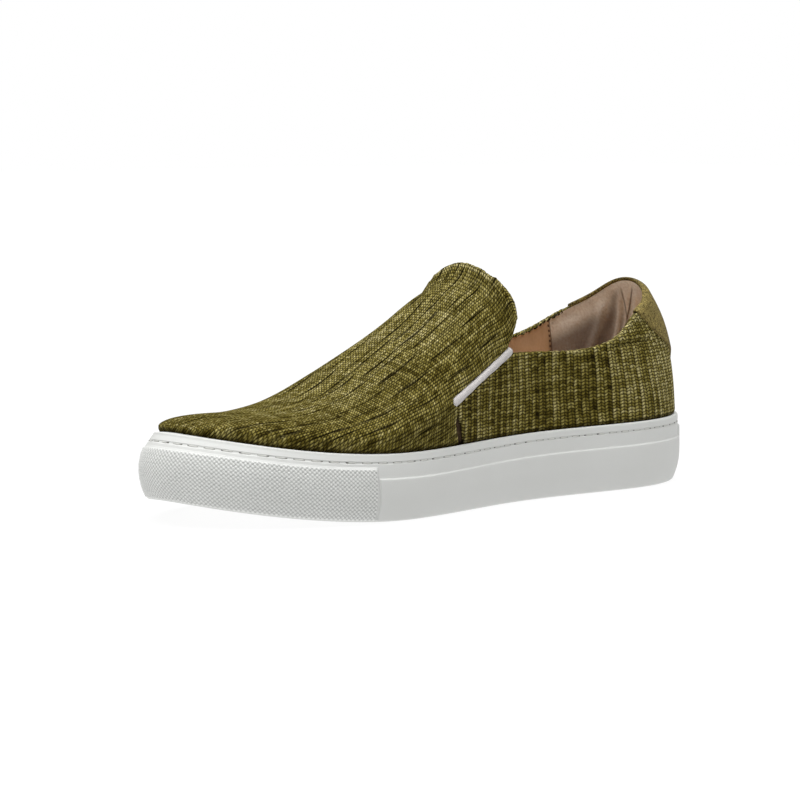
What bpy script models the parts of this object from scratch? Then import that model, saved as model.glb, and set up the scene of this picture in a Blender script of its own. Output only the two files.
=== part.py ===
"""Left slip-on shoe: knit upper, white rubber cupsole, insole, two elastic gores and a heel tab.

Sizes are millimetres: x from the back of the heel to the toe, y from the heel-to-toe axis towards the
outer side, z up from the floor. Every point is then moved so that the origin is the middle of the
bounding box on the floor, with +X to the toe and +Y to the wearer's left.
"""
import bmesh
import bpy
import numpy as np
from mathutils import Vector

MM = 0.001
WELD = 2e-6
SHARP_ANGLE = 0.6
LENGTH = 270.0
AXIS_SHIFT = 2.9
GAP = 0.3

# Plan of the sole at its widest level: share of the length, outer half width, inner half width.
OUTLINE = (
    (0.05, 24.2, 23.2),
    (0.15, 35.8, 34.5),
    (0.30, 36.6, 33.0),
    (0.42, 37.8, 31.5),
    (0.55, 45.2, 37.5),
    (0.65, 51.0, 43.8),
    (0.74, 51.8, 46.4),
    (0.83, 46.0, 44.0),
    (0.91, 35.2, 35.0),
    (0.97, 20.8, 21.0),
)
# Rim of the sole: share of the length, height, inset of its outer edge, bulge of the knit above it.
RIM = (
    (0.00, 29.3, 0.9, 1.2),
    (0.20, 28.6, 1.0, 1.2),
    (0.40, 28.0, 1.3, 1.3),
    (0.60, 26.6, 1.8, 1.6),
    (0.72, 26.4, 2.6, 1.7),
    (0.85, 29.2, 4.4, 1.5),
    (1.00, 35.7, 6.8, 0.2),
)
# Vamp over the last: share of the length, ridge height, where the wall turns into the arch as a share of
# the rise, rise of the line where the mesh's side rows end, ridge offset, power of the arch's curve.
VAMP = (
    (0.430, 95.4, 0.55, 36.4, -2.5, 1.75),
    (0.447, 87.6, 0.54, 34.8, -2.6, 1.83),
    (0.467, 83.2, 0.52, 33.0, -2.8, 1.97),
    (0.50, 77.2, 0.48, 29.6, -3.0, 2.15),
    (0.57, 65.3, 0.40, 22.0, -3.0, 2.2),
    (0.64, 54.5, 0.32, 14.2, -3.0, 2.2),
    (0.71, 45.2, 0.25, 8.8, -2.5, 2.2),
    (0.77, 41.3, 0.20, 6.0, -2.0, 2.2),
    (0.83, 39.9, 0.17, 4.4, -1.5, 2.2),
    (0.89, 40.2, 0.15, 3.4, -1.0, 2.2),
    (1.00, 38.8, 0.15, 2.0, 0.0, 2.2),
)
# Quarters: share of the length, collar height, inward lean of the wall per mm of height.
QUARTER = (
    (0.00, 85.0, 0.02),
    (0.03, 79.5, 0.06),
    (0.09, 72.6, 0.09),
    (0.17, 65.0, 0.10),
    (0.28, 59.6, 0.09),
    (0.38, 60.0, 0.05),
    (0.46, 60.4, 0.00),
    (1.00, 60.4, 0.00),
)
# Back of the heel seen from the side: height, how far forward of its lowest point.
HEEL_CURVE = (
    (29.0, 0.0),
    (40.0, -0.2),
    (50.0, 0.6),
    (60.0, 2.6),
    (70.0, 6.4),
    (80.0, 12.8),
    (90.0, 20.5),
)
HEEL_REACH = 0.40

TOE_SPRING = 9.4
SPRING_FROM = 0.68
BOTTOM_INSET = 3.0
BULGE_AT = 0.45
SIDE_POWER = 2.2
SIDE_LEVELS = (0.14, 0.30, 0.48)
EDGE_ROUND = 0.5
RIM_WALL = 2.0
CUP_DEPTH = 10.0
STITCH_DROP = 3.5
STITCH_WIDTH = 1.1
STITCH_DEPTH = 0.6
LEDGE_DROP = 10.0
PATCH_DROP = 5.8
LEDGE_STEP = 0.7
BUMPER_FROM = 203.0
HEEL_PATCH_TO = 12.0
PATCH_CUT = 0.5
PATCH_CUT_AT = (-0.9, -0.4, 0.4, 0.9)
TREAD_DEPTH = 1.6
TREAD_BELOW = 2.0
TREAD_WIDTH = 3.0
TREAD_MARGIN = 9.0
TREAD_AT = (18, 29, 40, 51, 62, 132, 143, 154, 165, 176, 187, 198, 209, 220)

KNIT = 2.4
BULGE_RISE = 1.8
TOE_CAP = 17.0
TOE_THIN = 0.3
GUIDE_MOST = 0.7
ARCH_FROM = 110.0
SEAM_FOOT = 150.0
SEAM_SINK = 0.7
GORE_LOW = (158.9, 43.3)
GORE_HIGH = (121.5, 60.6)
GORE_WIDTH = 3.4
GORE_SINK = 0.4
GORE_THICK = 1.6
THROAT_BACK = 6.0
THROAT_POWER = 5
THROAT_FLARE = 8.0

# Heel tab: share of the way from the rim to the collar, half width as a share of half the outline.
TAB = (
    (0.00, 0.042),
    (0.25, 0.046),
    (0.50, 0.095),
    (0.70, 0.170),
    (0.85, 0.200),
    (1.00, 0.218),
)
TAB_THICK = 1.2
INSOLE_THICK = 4.0


def spline(knots, values, period=0.0):
    """A smooth curve through the values: closed where a period is given, with straight ends elsewhere."""
    at = np.asarray(knots, float)
    value = np.asarray(values, float)
    if period:
        at = np.concatenate([at - period, at, at + period])
        value = np.tile(value, 3)
    gap = np.diff(at)
    slope = np.diff(value) / gap
    system = np.eye(len(at))
    turn = np.zeros(len(at))
    for i in range(1, len(at) - 1):
        system[i, i - 1 : i + 2] = gap[i - 1], 2 * (gap[i - 1] + gap[i]), gap[i]
        turn[i] = 6 * (slope[i] - slope[i - 1])
    bend = np.linalg.solve(system, turn)

    def curve(q):
        q = np.clip(np.asarray(q, float), at[0], at[-1])
        i = np.clip(np.searchsorted(at, q, side="right") - 1, 0, len(gap) - 1)
        left = at[i + 1] - q
        right = q - at[i]
        cubic = (bend[i] * left**3 + bend[i + 1] * right**3) / (6 * gap[i])
        ends = (value[i] * left + value[i + 1] * right) / gap[i]
        return cubic + ends - gap[i] * (bend[i] * left + bend[i + 1] * right) / 6

    return curve


def columns(table):
    """One spline per column of a table whose first column is a share of the length."""
    rows = np.array(table, float)
    return [spline(rows[:, 0] * LENGTH, rows[:, i]) for i in range(1, rows.shape[1])]


def turn_at(x):
    """Place on the outline, 0 at the back of the heel and 1 at the toe, of a distance from the heel."""
    return np.arccos(1 - 2 * np.asarray(x, float) / LENGTH) / np.pi


def station(s):
    return LENGTH * (1 - np.cos(np.pi * np.asarray(s, float))) / 2


plan = np.array(OUTLINE)
plan_turn = turn_at(plan[:, 0] * LENGTH)
plan_y = spline(
    np.concatenate([[0], plan_turn, [1], (2 - plan_turn)[::-1]]),
    np.concatenate([[0], plan[:, 1], [0], -plan[::-1, 2]]),
    period=2.0,
)
rim_z, rim_inset, knit_bulge = columns(RIM)
ridge_z, shoulder_share, guide_rise, ridge_y, arch_power = columns(VAMP)
collar_z, wall_lean = columns(QUARTER)
heel_forward = spline(*np.array(HEEL_CURVE).T)


def outline(s, inset):
    """Plan points at s, moved in by inset: s runs over the outer side to 1 and back over the inner to 2."""
    s = np.asarray(s, float)
    ahead = np.stack([station(s + 1e-4), plan_y(s + 1e-4)], -1)
    behind = np.stack([station(s - 1e-4), plan_y(s - 1e-4)], -1)
    along = (ahead - behind) / np.linalg.norm(ahead - behind, axis=-1, keepdims=True)
    inward = np.stack([along[..., 1], -along[..., 0]], -1)
    here = np.stack([station(s), plan_y(s)], -1)
    return here + inward * np.asarray(inset, float)[..., None]


def smooth(t):
    t = np.clip(t, 0, 1)
    return t * t * (3 - 2 * t)


def floor_z(x):
    return TOE_SPRING * np.clip((x / LENGTH - SPRING_FROM) / (1 - SPRING_FROM), 0, 1) ** 2


def wall(s, z, sink=0.0):
    """The upper's outer face beside the foot, at a place on the outline and a height."""
    s = np.asarray(s, float) % 2
    x = station(s)
    rise = z - rim_z(x)
    inset = rim_inset(x) + RIM_WALL + GAP - knit_bulge(x) * smooth(rise / BULGE_RISE)
    inset = inset + wall_lean(x) * np.maximum(rise - BULGE_RISE, 0) + sink
    flat = outline(s, inset)
    reach = smooth(1 - x / (HEEL_REACH * LENGTH))
    forward = heel_forward(np.maximum(z, HEEL_CURVE[0][0])) * reach
    return np.stack([flat[..., 0] + forward, flat[..., 1], z + 0 * x], -1)


def base_z(s):
    return rim_z(station(s)) + BULGE_RISE


tip_inset = rim_inset(LENGTH) + RIM_WALL + GAP - knit_bulge(LENGTH)
heel_inset = rim_inset(0.0) + RIM_WALL + GAP - knit_bulge(0.0)


def vamp_rise(s, sink=0.0):
    """Ridge x, heights of shoulder and ridge over the forefoot, and the rounding off at the toe."""
    x = station(s)
    back = heel_inset + sink
    ridge_x = back + (LENGTH - tip_inset - sink - back) * x / LENGTH
    near = np.clip((LENGTH - tip_inset - sink - ridge_x) / TOE_CAP, 0, 1)
    cap = np.sqrt(1 - (1 - near) ** 2)
    rise = (ridge_z(x) - base_z(s)) * cap
    rise = np.maximum(rise - sink, TOE_THIN * rise)
    return ridge_x, base_z(s) + rise * shoulder_share(x), base_z(s) + rise, cap


def skin(s, q, sink=0.0):
    """The vamp: q is 0 to 1 up the wall to the shoulder, then 1 to 2 over the arch to the ridge."""
    ridge_x, shoulder, top, cap = vamp_rise(s, sink)
    side = wall(s, base_z(s) + (shoulder - base_z(s)) * np.clip(q, 0, 1), sink)
    over = np.clip(q - 1, 0, 1) * np.pi / 2
    power = arch_power(station(s))
    keep = np.cos(over).clip(0) ** (2 / power)
    lift = np.sin(over) ** (2 / power)
    middle = np.stack([ridge_x, ridge_y(station(s)) * cap, shoulder], -1)
    point = middle + (side - middle) * keep[..., None]
    point[..., 2] = np.where(q <= 1, side[..., 2], shoulder + (top - shoulder) * lift)
    return point


def skin_share(s, z, sink=0.0):
    """The q of skin() at a height."""
    ridge_x, shoulder, top, cap = vamp_rise(s, sink)
    low = (z - base_z(s)) / np.maximum(shoulder - base_z(s), 1e-6)
    lift = np.clip((z - shoulder) / np.maximum(top - shoulder, 1e-6), 0, 1)
    return np.where(z <= shoulder, low, 1 + np.arcsin(lift ** (arch_power(station(s)) / 2)) * 2 / np.pi)


def side_face(s, z, sink=0.0):
    """The upper's side at a place on the outline and a height, arched over where the vamp is."""
    s = np.asarray(s, float)
    arched = skin(s, skin_share(s, z, sink), sink)
    return np.where((station(s) > ARCH_FROM)[..., None], arched, wall(s, z, sink))


def vamp_row(s, row, sink=0.0):
    """The vamp by rows of the mesh: 0 to 1 up the side to the guide line, then 1 to 2 to the ridge."""
    ridge_x, shoulder, top, cap = vamp_rise(s, sink)
    low = base_z(s)
    guide = low + np.minimum(guide_rise(station(s)) * cap, GUIDE_MOST * (top - low))
    turn = skin_share(s, guide, sink)
    side = skin_share(s, low + (guide - low) * np.clip(row, 0, 1), sink)
    return skin(s, np.where(row <= 1, side, turn + (2 - turn) * np.clip(row - 1, 0, 1)), sink)


def place(points):
    """Millimetres from the heel to metres in the part's frame."""
    return (np.asarray(points, float) - (LENGTH / 2, AXIS_SHIFT, 0)) * MM


def solid(name, faces, color, roughness, thickness=0.0):
    """One named object from faces given as lists of points; equal points become one vertex."""
    mesh = bmesh.new()
    for face in faces:
        mesh.faces.new([mesh.verts.new(p) for p in place(face)])
    bmesh.ops.remove_doubles(mesh, verts=mesh.verts, dist=WELD)
    bmesh.ops.recalc_face_normals(mesh, faces=mesh.faces)
    data = bpy.data.meshes.new(name)
    mesh.to_mesh(data)
    mesh.free()
    data.shade_smooth()
    data.set_sharp_from_angle(angle=SHARP_ANGLE)
    thing = bpy.data.objects.new(name, data)
    bpy.context.scene.collection.objects.link(thing)
    if thickness:
        shell = thing.modifiers.new("wall", "SOLIDIFY")
        shell.thickness = thickness * MM
        shell.offset = -1
        shell.use_quality_normals = True
    material = bpy.data.materials.new(name)
    material.use_nodes = True
    shader = material.node_tree.nodes["Principled BSDF"]
    shader.inputs["Base Color"].default_value = (*color, 1)
    shader.inputs["Roughness"].default_value = roughness
    data.materials.append(material)
    return thing


def quads(grid):
    """The faces of a grid of points, rows by columns."""
    grid = np.asarray(grid)
    return [
        (grid[i, j], grid[i, j + 1], grid[i + 1, j + 1], grid[i + 1, j])
        for i in range(grid.shape[0] - 1)
        for j in range(grid.shape[1] - 1)
    ]


def facing(thing, inside):
    """Turns an open skin so that its faces look away from a point inside it."""
    middle = Vector(place(inside))
    mesh = bmesh.new()
    mesh.from_mesh(thing.data)
    away = sum(f.normal.dot(f.calc_center_median() - middle) * f.calc_area() for f in mesh.faces)
    if away < 0:
        bmesh.ops.reverse_faces(mesh, faces=mesh.faces)
    mesh.to_mesh(thing.data)
    mesh.free()


for old in list(bpy.data.objects):
    bpy.data.objects.remove(old, do_unlink=True)

# Upper. The slit for the gore: its front edge is on the vamp, its rear edge and the seam on both blocks.
gore_along = np.subtract(GORE_HIGH, GORE_LOW) / np.linalg.norm(np.subtract(GORE_HIGH, GORE_LOW))
gore_across = np.array([gore_along[1], -gore_along[0]])
half_slit = GORE_WIDTH / 2 + GAP
slit_front = np.array([GORE_LOW, GORE_HIGH]) + gore_across * half_slit
slit_rear = np.array([GORE_LOW, GORE_HIGH]) - gore_across * half_slit

SEAM_ROWS = 3
SLIT_ROWS = 5
ARCH_ROWS = 7
seam_t = np.linspace(0, 1, SEAM_ROWS + 1)
slit_t = np.linspace(0, 1, SLIT_ROWS + 1)
seam_x = SEAM_FOOT + (slit_rear[0, 0] - SEAM_FOOT) * seam_t
foot_z = rim_z(SEAM_FOOT) + BULGE_RISE
seam_z = foot_z + (slit_rear[0, 1] - foot_z) * seam_t
front_x = slit_front[0, 0] + (slit_front[1, 0] - slit_front[0, 0]) * slit_t
front_z = slit_front[0, 1] + (slit_front[1, 1] - slit_front[0, 1]) * slit_t
rear_x = slit_rear[0, 0] + (slit_rear[1, 0] - slit_rear[0, 0]) * slit_t
rear_z = slit_rear[0, 1] + (slit_rear[1, 1] - slit_rear[0, 1]) * slit_t


def side_row(x, z):
    """Height on the vamp's side as a share of the way to the guide line."""
    s = turn_at(x)
    return (z - base_z(s)) / guide_rise(x)


arch_t = np.linspace(0, 1, ARCH_ROWS + 1)
throat_x = slit_front[1, 0] - THROAT_BACK * (1 - (1 - arch_t) ** THROAT_POWER)
throat_x = throat_x - THROAT_FLARE * np.sin(np.pi * arch_t) * (1 - arch_t)
edge_x = np.concatenate([seam_x, front_x, throat_x])
edge_row = np.concatenate([side_row(seam_x, seam_z), side_row(front_x, front_z), 1 + arch_t])

VAMP_COLUMNS = np.concatenate([[0, 0.012, 0.03], np.linspace(0.07, 0.89, 14), [1]])
QUARTER_COLUMNS = np.concatenate([[1, 0.985, 0.96], np.linspace(0.91, 0, 19)])


def side_turn(s, inner):
    return 2 - s if inner else s


def edged(points, x, z, inner, sink):
    """Puts a block's first column on the seam, sunk into the wall, and on the edge of the slit above it."""
    for i in range(len(x)):
        depth = sink + SEAM_SINK * (i < SEAM_ROWS)
        points[i, 0] = side_face(side_turn(turn_at(x[i]), inner), z[i], depth)
    return points


def vamp_block(inner, sink):
    s_edge = turn_at(edge_x)[:, None]
    s = s_edge + (1 - s_edge) * VAMP_COLUMNS
    row = np.broadcast_to(edge_row[:, None], s.shape)
    block = vamp_row(side_turn(s, inner), row, sink)
    return edged(block, np.append(seam_x, front_x), np.append(seam_z, front_z), inner, sink)


def quarter_block(inner, sink):
    x = np.append(seam_x, rear_x[1:])
    z = np.append(seam_z, rear_z[1:])
    share = (z - rim_z(x) - BULGE_RISE) / (collar_z(x) - rim_z(x) - BULGE_RISE)
    share[-1] = 1.0
    s = turn_at(x)[:, None] * QUARTER_COLUMNS
    low = base_z(s)
    height = low + (collar_z(station(s)) - low) * share[:, None]
    return edged(side_face(side_turn(s, inner), height, sink), x, z, inner, sink)


def skirt(block, inner, sink):
    """Rows from the foot of a block, in under the bulge and down inside the cup."""
    columns_s = VAMP_COLUMNS if block is vamp_block else QUARTER_COLUMNS
    start = turn_at(SEAM_FOOT)
    s = start + (1 - start) * columns_s if block is vamp_block else start * columns_s
    s = side_turn(s, inner)
    rim = rim_z(station(s))
    rows = [wall(s, rim + drop, sink) for drop in (0.4 * BULGE_RISE, 0.0, GAP - CUP_DEPTH)]
    return np.stack([block(inner, sink)[0]] + rows)


upper_faces = []
for inner in (False, True):
    for block in (vamp_block, quarter_block):
        face, back = block(inner, 0.0), block(inner, KNIT)
        foot, foot_back = skirt(block, inner, 0.0), skirt(block, inner, KNIT)
        upper_faces += quads(face) + quads(back) + quads(foot) + quads(foot_back)
        open_edges = [(face[SEAM_ROWS:, 0], back[SEAM_ROWS:, 0]), (foot[-1], foot_back[-1])]
        if block is quarter_block:
            open_edges.append((face[-1], back[-1]))
        for edge in open_edges:
            upper_faces += quads(np.stack(edge))
solid("upper", upper_faces, (0.17, 0.15, 0.04), 0.9)

# Gores: strips of elastic that fill the slits, set a little below the knit's face.
for name, inner in (("gore_outer", False), ("gore_inner", True)):
    length_t = np.linspace(0.01, 1.0, 13)[:, None]
    width_t = np.linspace(-0.5, 0.5, 3)[None, :] * GORE_WIDTH
    gx = GORE_LOW[0] + (GORE_HIGH[0] - GORE_LOW[0]) * length_t + gore_across[0] * width_t
    gz = GORE_LOW[1] + (GORE_HIGH[1] - GORE_LOW[1]) * length_t + gore_across[1] * width_t
    strip = side_face(side_turn(turn_at(gx), inner), gz, GORE_SINK)
    gore = solid(name, quads(strip), (0.78, 0.77, 0.76), 0.7, GORE_THICK)
    facing(gore, (LENGTH * 0.5, 0, 50))


# Sole: a profile carried round the outline, from the underside out, up the side, over the rim and down.
def side_inset(s, share):
    """Inset of the plain side at a share of the height from the bottom edge to the rim."""
    low = BOTTOM_INSET * (np.clip(BULGE_AT - share, 0, 1) / BULGE_AT) ** 2
    high = np.clip((share - BULGE_AT) / (1 - BULGE_AT), 0, 1) ** SIDE_POWER
    return low + (rim_inset(station(s)) - LEDGE_STEP) * high


def sole_column(s, patch, cut):
    """Points up one column of the sole: patch puts the ledge high, cut sinks the lower band."""
    x = station(s)
    low = floor_z(x)
    rim = rim_z(x)
    drop = PATCH_DROP if patch else LEDGE_DROP
    rows = (
        (low, BOTTOM_INSET + EDGE_ROUND, 0),
        (low + EDGE_ROUND, None, cut),
        *((low + level * (rim - low), None, cut) for level in SIDE_LEVELS),
        (rim - drop - 0.4, None, cut),
        (rim - drop + 0.3, None, LEDGE_STEP),
        (rim - STITCH_DROP - STITCH_WIDTH, None, LEDGE_STEP),
        (rim - STITCH_DROP - 0.8 * STITCH_WIDTH, None, LEDGE_STEP + STITCH_DEPTH),
        (rim - STITCH_DROP - 0.2 * STITCH_WIDTH, None, LEDGE_STEP + STITCH_DEPTH),
        (rim - STITCH_DROP, None, LEDGE_STEP),
        (rim - 0.7, None, LEDGE_STEP),
        (rim, rim_inset(x) + EDGE_ROUND, 0),
        (rim, rim_inset(x) + RIM_WALL, 0),
        (rim - CUP_DEPTH, rim_inset(x) + RIM_WALL, 0),
    )
    points = []
    for z, inset, more in rows:
        if inset is None:
            inset = side_inset(s, (z - low) / (rim - low))
        flat = outline(s, inset + more)
        points.append((flat[0], flat[1], z))
    return points


def step_turns(x):
    """Four places close round x: before the cut, both sides of its floor, and after it."""
    return turn_at(x + np.array(PATCH_CUT_AT))


bumper_steps = step_turns(BUMPER_FROM)
heel_steps = step_turns(HEEL_PATCH_TO)
half_loop = [(s, True, 0.0) for s in np.linspace(0, heel_steps[0], 4)]
half_loop += [(heel_steps[1], True, PATCH_CUT), (heel_steps[2], False, PATCH_CUT)]
half_loop += [(s, False, 0.0) for s in np.linspace(heel_steps[3], bumper_steps[0], 18)]
half_loop += [(bumper_steps[1], False, PATCH_CUT), (bumper_steps[2], True, PATCH_CUT)]
half_loop += [(s, True, 0.0) for s in np.linspace(bumper_steps[3], 1, 14)]
outer_half = np.array([sole_column(*c) for c in half_loop])
inner_half = np.array([sole_column(2 - c[0], c[1], c[2]) for c in half_loop])
sole_faces = quads(outer_half) + quads(inner_half)
for level in (0, -1):
    sole_faces += quads(np.stack([outer_half[:, level], inner_half[:, level]]))
sole = solid("sole", sole_faces, (0.74, 0.75, 0.74), 0.45)

# Cross grooves of the tread, cut square to the bottom.
tread_faces = []
for x in TREAD_AT:
    lean = (floor_z(x + 1.0) - floor_z(x - 1.0)) / 2.0
    ends = [outline(s, BOTTOM_INSET + TREAD_MARGIN)[1] for s in (turn_at(x), 2 - turn_at(x))]
    corners = np.array(
        [
            (x + a * TREAD_WIDTH / 2 - lean * b, y, floor_z(x) + a * TREAD_WIDTH / 2 * lean + b)
            for b in (-TREAD_BELOW, TREAD_DEPTH)
            for y in ends
            for a in (-1, 1)
        ]
    )
    for face in ((0, 1, 3, 2), (4, 6, 7, 5), (0, 4, 5, 1), (2, 3, 7, 6), (0, 2, 6, 4), (1, 5, 7, 3)):
        tread_faces.append(corners[list(face)])
tread = solid("tread_cutter", tread_faces, (0.5, 0.5, 0.5), 0.5)
tread.hide_render = True
tread.display_type = "WIRE"
grooves = sole.modifiers.new("tread", "BOOLEAN")
grooves.operation = "DIFFERENCE"
grooves.solver = "EXACT"
grooves.object = tread

# Insole: a plate inside the foot of the upper.
plate_s = turn_at(LENGTH * (1 - np.cos(np.linspace(0, np.pi, 25))) / 2)
plate_inset = rim_inset(station(plate_s)) + RIM_WALL + KNIT + 4 * GAP
plate_z = rim_z(station(plate_s)) - CUP_DEPTH + GAP


def plate_edge(inner, lift):
    flat = outline(side_turn(plate_s, inner), plate_inset)
    return np.concatenate([flat, (plate_z + lift)[:, None]], 1)


plate = [plate_edge(False, 0), plate_edge(False, INSOLE_THICK)]
plate += [plate_edge(True, INSOLE_THICK), plate_edge(True, 0)]
insole_faces = []
for first, second in zip(plate, plate[1:] + plate[:1]):
    insole_faces += quads(np.stack([first, second]))
solid("insole", insole_faces, (0.42, 0.30, 0.20), 0.7)

# Heel tab: an overlay on the upper's back, wide at the collar and a narrow strip below.
TAB_ROWS = 9
TAB_COLUMNS = 18
tab_share = np.linspace(0.02, 1.0, TAB_ROWS + 1)
tab_half = spline(*np.array(TAB).T)
tab_rows = []
for share in tab_share:
    s = np.linspace(-1, 1, TAB_COLUMNS + 1) * tab_half(share)
    low = base_z(s % 2)
    height = low + (collar_z(station(s)) - low) * share
    tab_rows.append(wall(s, height, -(TAB_THICK + 2 * GAP)))
heel_tab = solid("heel_tab", quads(np.array(tab_rows)), (0.15, 0.11, 0.05), 0.6, TAB_THICK)
facing(heel_tab, (LENGTH * 0.5, 0, 50))
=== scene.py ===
"""Left slip-on shoe: an olive rib-knit upper on a white rubber cupsole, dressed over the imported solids."""
import math

import bpy
import numpy as np
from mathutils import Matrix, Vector


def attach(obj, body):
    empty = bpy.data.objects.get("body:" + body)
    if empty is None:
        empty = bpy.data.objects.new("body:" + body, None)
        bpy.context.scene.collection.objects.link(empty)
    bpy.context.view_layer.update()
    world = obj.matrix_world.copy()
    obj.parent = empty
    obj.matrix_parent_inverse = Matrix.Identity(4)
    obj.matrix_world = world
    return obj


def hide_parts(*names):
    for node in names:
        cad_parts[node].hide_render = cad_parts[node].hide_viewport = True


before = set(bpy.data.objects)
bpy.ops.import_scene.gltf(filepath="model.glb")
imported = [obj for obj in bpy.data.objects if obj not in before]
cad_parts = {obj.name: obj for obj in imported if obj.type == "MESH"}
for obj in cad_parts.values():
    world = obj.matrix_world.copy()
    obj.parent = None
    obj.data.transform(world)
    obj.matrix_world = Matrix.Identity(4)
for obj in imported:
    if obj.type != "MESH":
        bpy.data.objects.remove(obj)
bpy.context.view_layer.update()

# Sole. One cup of white rubber, moulded whole, with a straight side that leans in towards the rim.
# A ledge runs round the side, a stitch channel runs under the rim, and grooves cross the underside.
# Millimetres here run from the back of the heel (x), the heel-to-toe line (y) and the floor (z).
MM = 0.001
LENGTH = 270.0
AXIS_SHIFT = 2.9
GAP = 0.3
# Plan at the widest level: share of the length, outer half width, inner half width.
OUTLINE = (
    (0.05, 24.2, 23.2),
    (0.15, 35.8, 34.5),
    (0.30, 36.6, 33.0),
    (0.42, 37.8, 31.5),
    (0.55, 45.2, 37.5),
    (0.65, 51.0, 43.8),
    (0.74, 51.8, 46.4),
    (0.83, 46.0, 44.0),
    (0.91, 35.2, 35.0),
    (0.97, 20.8, 21.0),
)
# Rim: share of the length, height, inset of its outer edge, bulge of the knit above it.
RIM = (
    (0.00, 28.2, 0.9, 1.2),
    (0.20, 27.7, 1.0, 1.2),
    (0.40, 27.2, 1.3, 1.3),
    (0.60, 26.1, 1.8, 1.6),
    (0.72, 26.0, 2.6, 1.7),
    (0.85, 28.5, 4.4, 1.5),
    (1.00, 34.9, 6.8, 1.6),
)
TOE_SPRING = 9.4
SPRING_FROM = 0.68
BOTTOM_INSET = 3.0
UNDER_MARGIN = 3.0
EDGE_ROUND = 0.9
BULGE_AT = 0.45
SIDE_POWER = 2.2
RIM_WALL = 2.0
CUP_DEPTH = 9.2
STITCH_DROP = 2.7
STITCH_WIDTH = 1.1
STITCH_DEPTH = 0.3
CHANNEL_MARGIN = 0.7
LIP_ROUND = 0.8
CUP_CHAMFER = 0.3
LEDGE_DROP = 9.2
PATCH_DROP = 5.0
LEDGE_SET = 0.4
LEDGE_STEP = 0.7
LEDGE_RISE = 0.7
BUMPER_FROM = 203.0
TOE_STEP_FROM = BUMPER_FROM + 2.0
TOE_STEP_RUN = 20.0
TOE_STEP_LESS = 0.45
HEEL_PATCH_TO = 12.0
PATCH_CUT = 0.5
CUT_HALF = 0.4
CUT_SLOPE = 0.5
TREAD_DEPTH = 1.6
TREAD_WIDTH = 3.0
TREAD_MARGIN = 9.0
TREAD_BELOW = 2.0
TREAD_AT = (18, 29, 40, 51, 62, 132, 143, 154, 165, 176, 187, 198, 209, 220)


def spline(knots, values, period=0.0):
    """A smooth curve through the values: closed where a period is given, with straight ends elsewhere."""
    at = np.asarray(knots, float)
    value = np.asarray(values, float)
    if period:
        at = np.concatenate([at - period, at, at + period])
        value = np.tile(value, 3)
    gap = np.diff(at)
    slope = np.diff(value) / gap
    system = np.eye(len(at))
    turn = np.zeros(len(at))
    for i in range(1, len(at) - 1):
        system[i, i - 1 : i + 2] = gap[i - 1], 2 * (gap[i - 1] + gap[i]), gap[i]
        turn[i] = 6 * (slope[i] - slope[i - 1])
    bend = np.linalg.solve(system, turn)

    def curve(q):
        q = np.clip(np.asarray(q, float), at[0], at[-1])
        i = np.clip(np.searchsorted(at, q, side="right") - 1, 0, len(gap) - 1)
        left = at[i + 1] - q
        right = q - at[i]
        cubic = (bend[i] * left**3 + bend[i + 1] * right**3) / (6 * gap[i])
        ends = (value[i] * left + value[i + 1] * right) / gap[i]
        return cubic + ends - gap[i] * (bend[i] * left + bend[i + 1] * right) / 6

    return curve


def columns(table):
    """One spline per column of a table whose first column is a share of the length."""
    rows = np.array(table, float)
    return [spline(rows[:, 0] * LENGTH, rows[:, i]) for i in range(1, rows.shape[1])]


def turn_at(x):
    """Place on the outline, 0 at the back of the heel and 1 at the toe, of a distance from the heel."""
    return np.arccos(1 - 2 * np.asarray(x, float) / LENGTH) / np.pi


def station(s):
    """Distance from the back of the heel of a place on the outline."""
    return LENGTH * (1 - np.cos(np.pi * np.asarray(s, float))) / 2


plan = np.array(OUTLINE)
plan_turn = turn_at(plan[:, 0] * LENGTH)
plan_y = spline(
    np.concatenate([[0], plan_turn, [1], (2 - plan_turn)[::-1]]),
    np.concatenate([[0], plan[:, 1], [0], -plan[::-1, 2]]),
    period=2.0,
)
rim_z, rim_inset, knit_bulge = columns(RIM)


def outline(s, inset):
    """Plan points at s, moved in by inset: s runs over the outer side to 1 and back over the inner to 2."""
    s = np.asarray(s, float) % 2
    ahead = np.stack([station(s + 1e-4), plan_y(s + 1e-4)], -1)
    behind = np.stack([station(s - 1e-4), plan_y(s - 1e-4)], -1)
    along = (ahead - behind) / np.linalg.norm(ahead - behind, axis=-1, keepdims=True)
    inward = np.stack([along[..., 1], -along[..., 0]], -1)
    here = np.stack([station(s), plan_y(s)], -1)
    return here + inward * np.asarray(inset, float)[..., None]


def smooth(t):
    """0 below 0, 1 above 1, and a soft rise between them."""
    t = np.clip(t, 0, 1)
    return t * t * (3 - 2 * t)


def floor_z(x):
    """Height of the sole's underside, which lifts off the floor towards the toe."""
    return TOE_SPRING * np.clip((x / LENGTH - SPRING_FROM) / (1 - SPRING_FROM), 0, 1) ** 2


def side_inset(s, share):
    """Inset of the plain side at a share of the height from the bottom edge to the rim."""
    low = BOTTOM_INSET * (np.clip(BULGE_AT - share, 0, 1) / BULGE_AT) ** 2
    high = np.clip((share - BULGE_AT) / (1 - BULGE_AT), 0, 1) ** SIDE_POWER
    return low + (rim_inset(station(s)) - LEDGE_STEP) * high


def placed(name, data):
    """A new object in the scene."""
    made = bpy.data.objects.new(name, data)
    bpy.context.scene.collection.objects.link(made)
    return made


def grid_faces(rows, cols, loop=False, inward=False):
    """Quads of a grid of points, rows by columns, joined up along the rows where it is a loop."""
    at = np.arange(rows * cols).reshape(rows, cols)
    after = np.roll(at, -1, 1) if loop else at[:, 1:]
    here = at if loop else at[:, :-1]
    quads = np.stack([here[:-1], here[1:], after[1:], after[:-1]], -1).reshape(-1, 4)
    return (quads[:, ::-1] if inward else quads).tolist()


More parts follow.
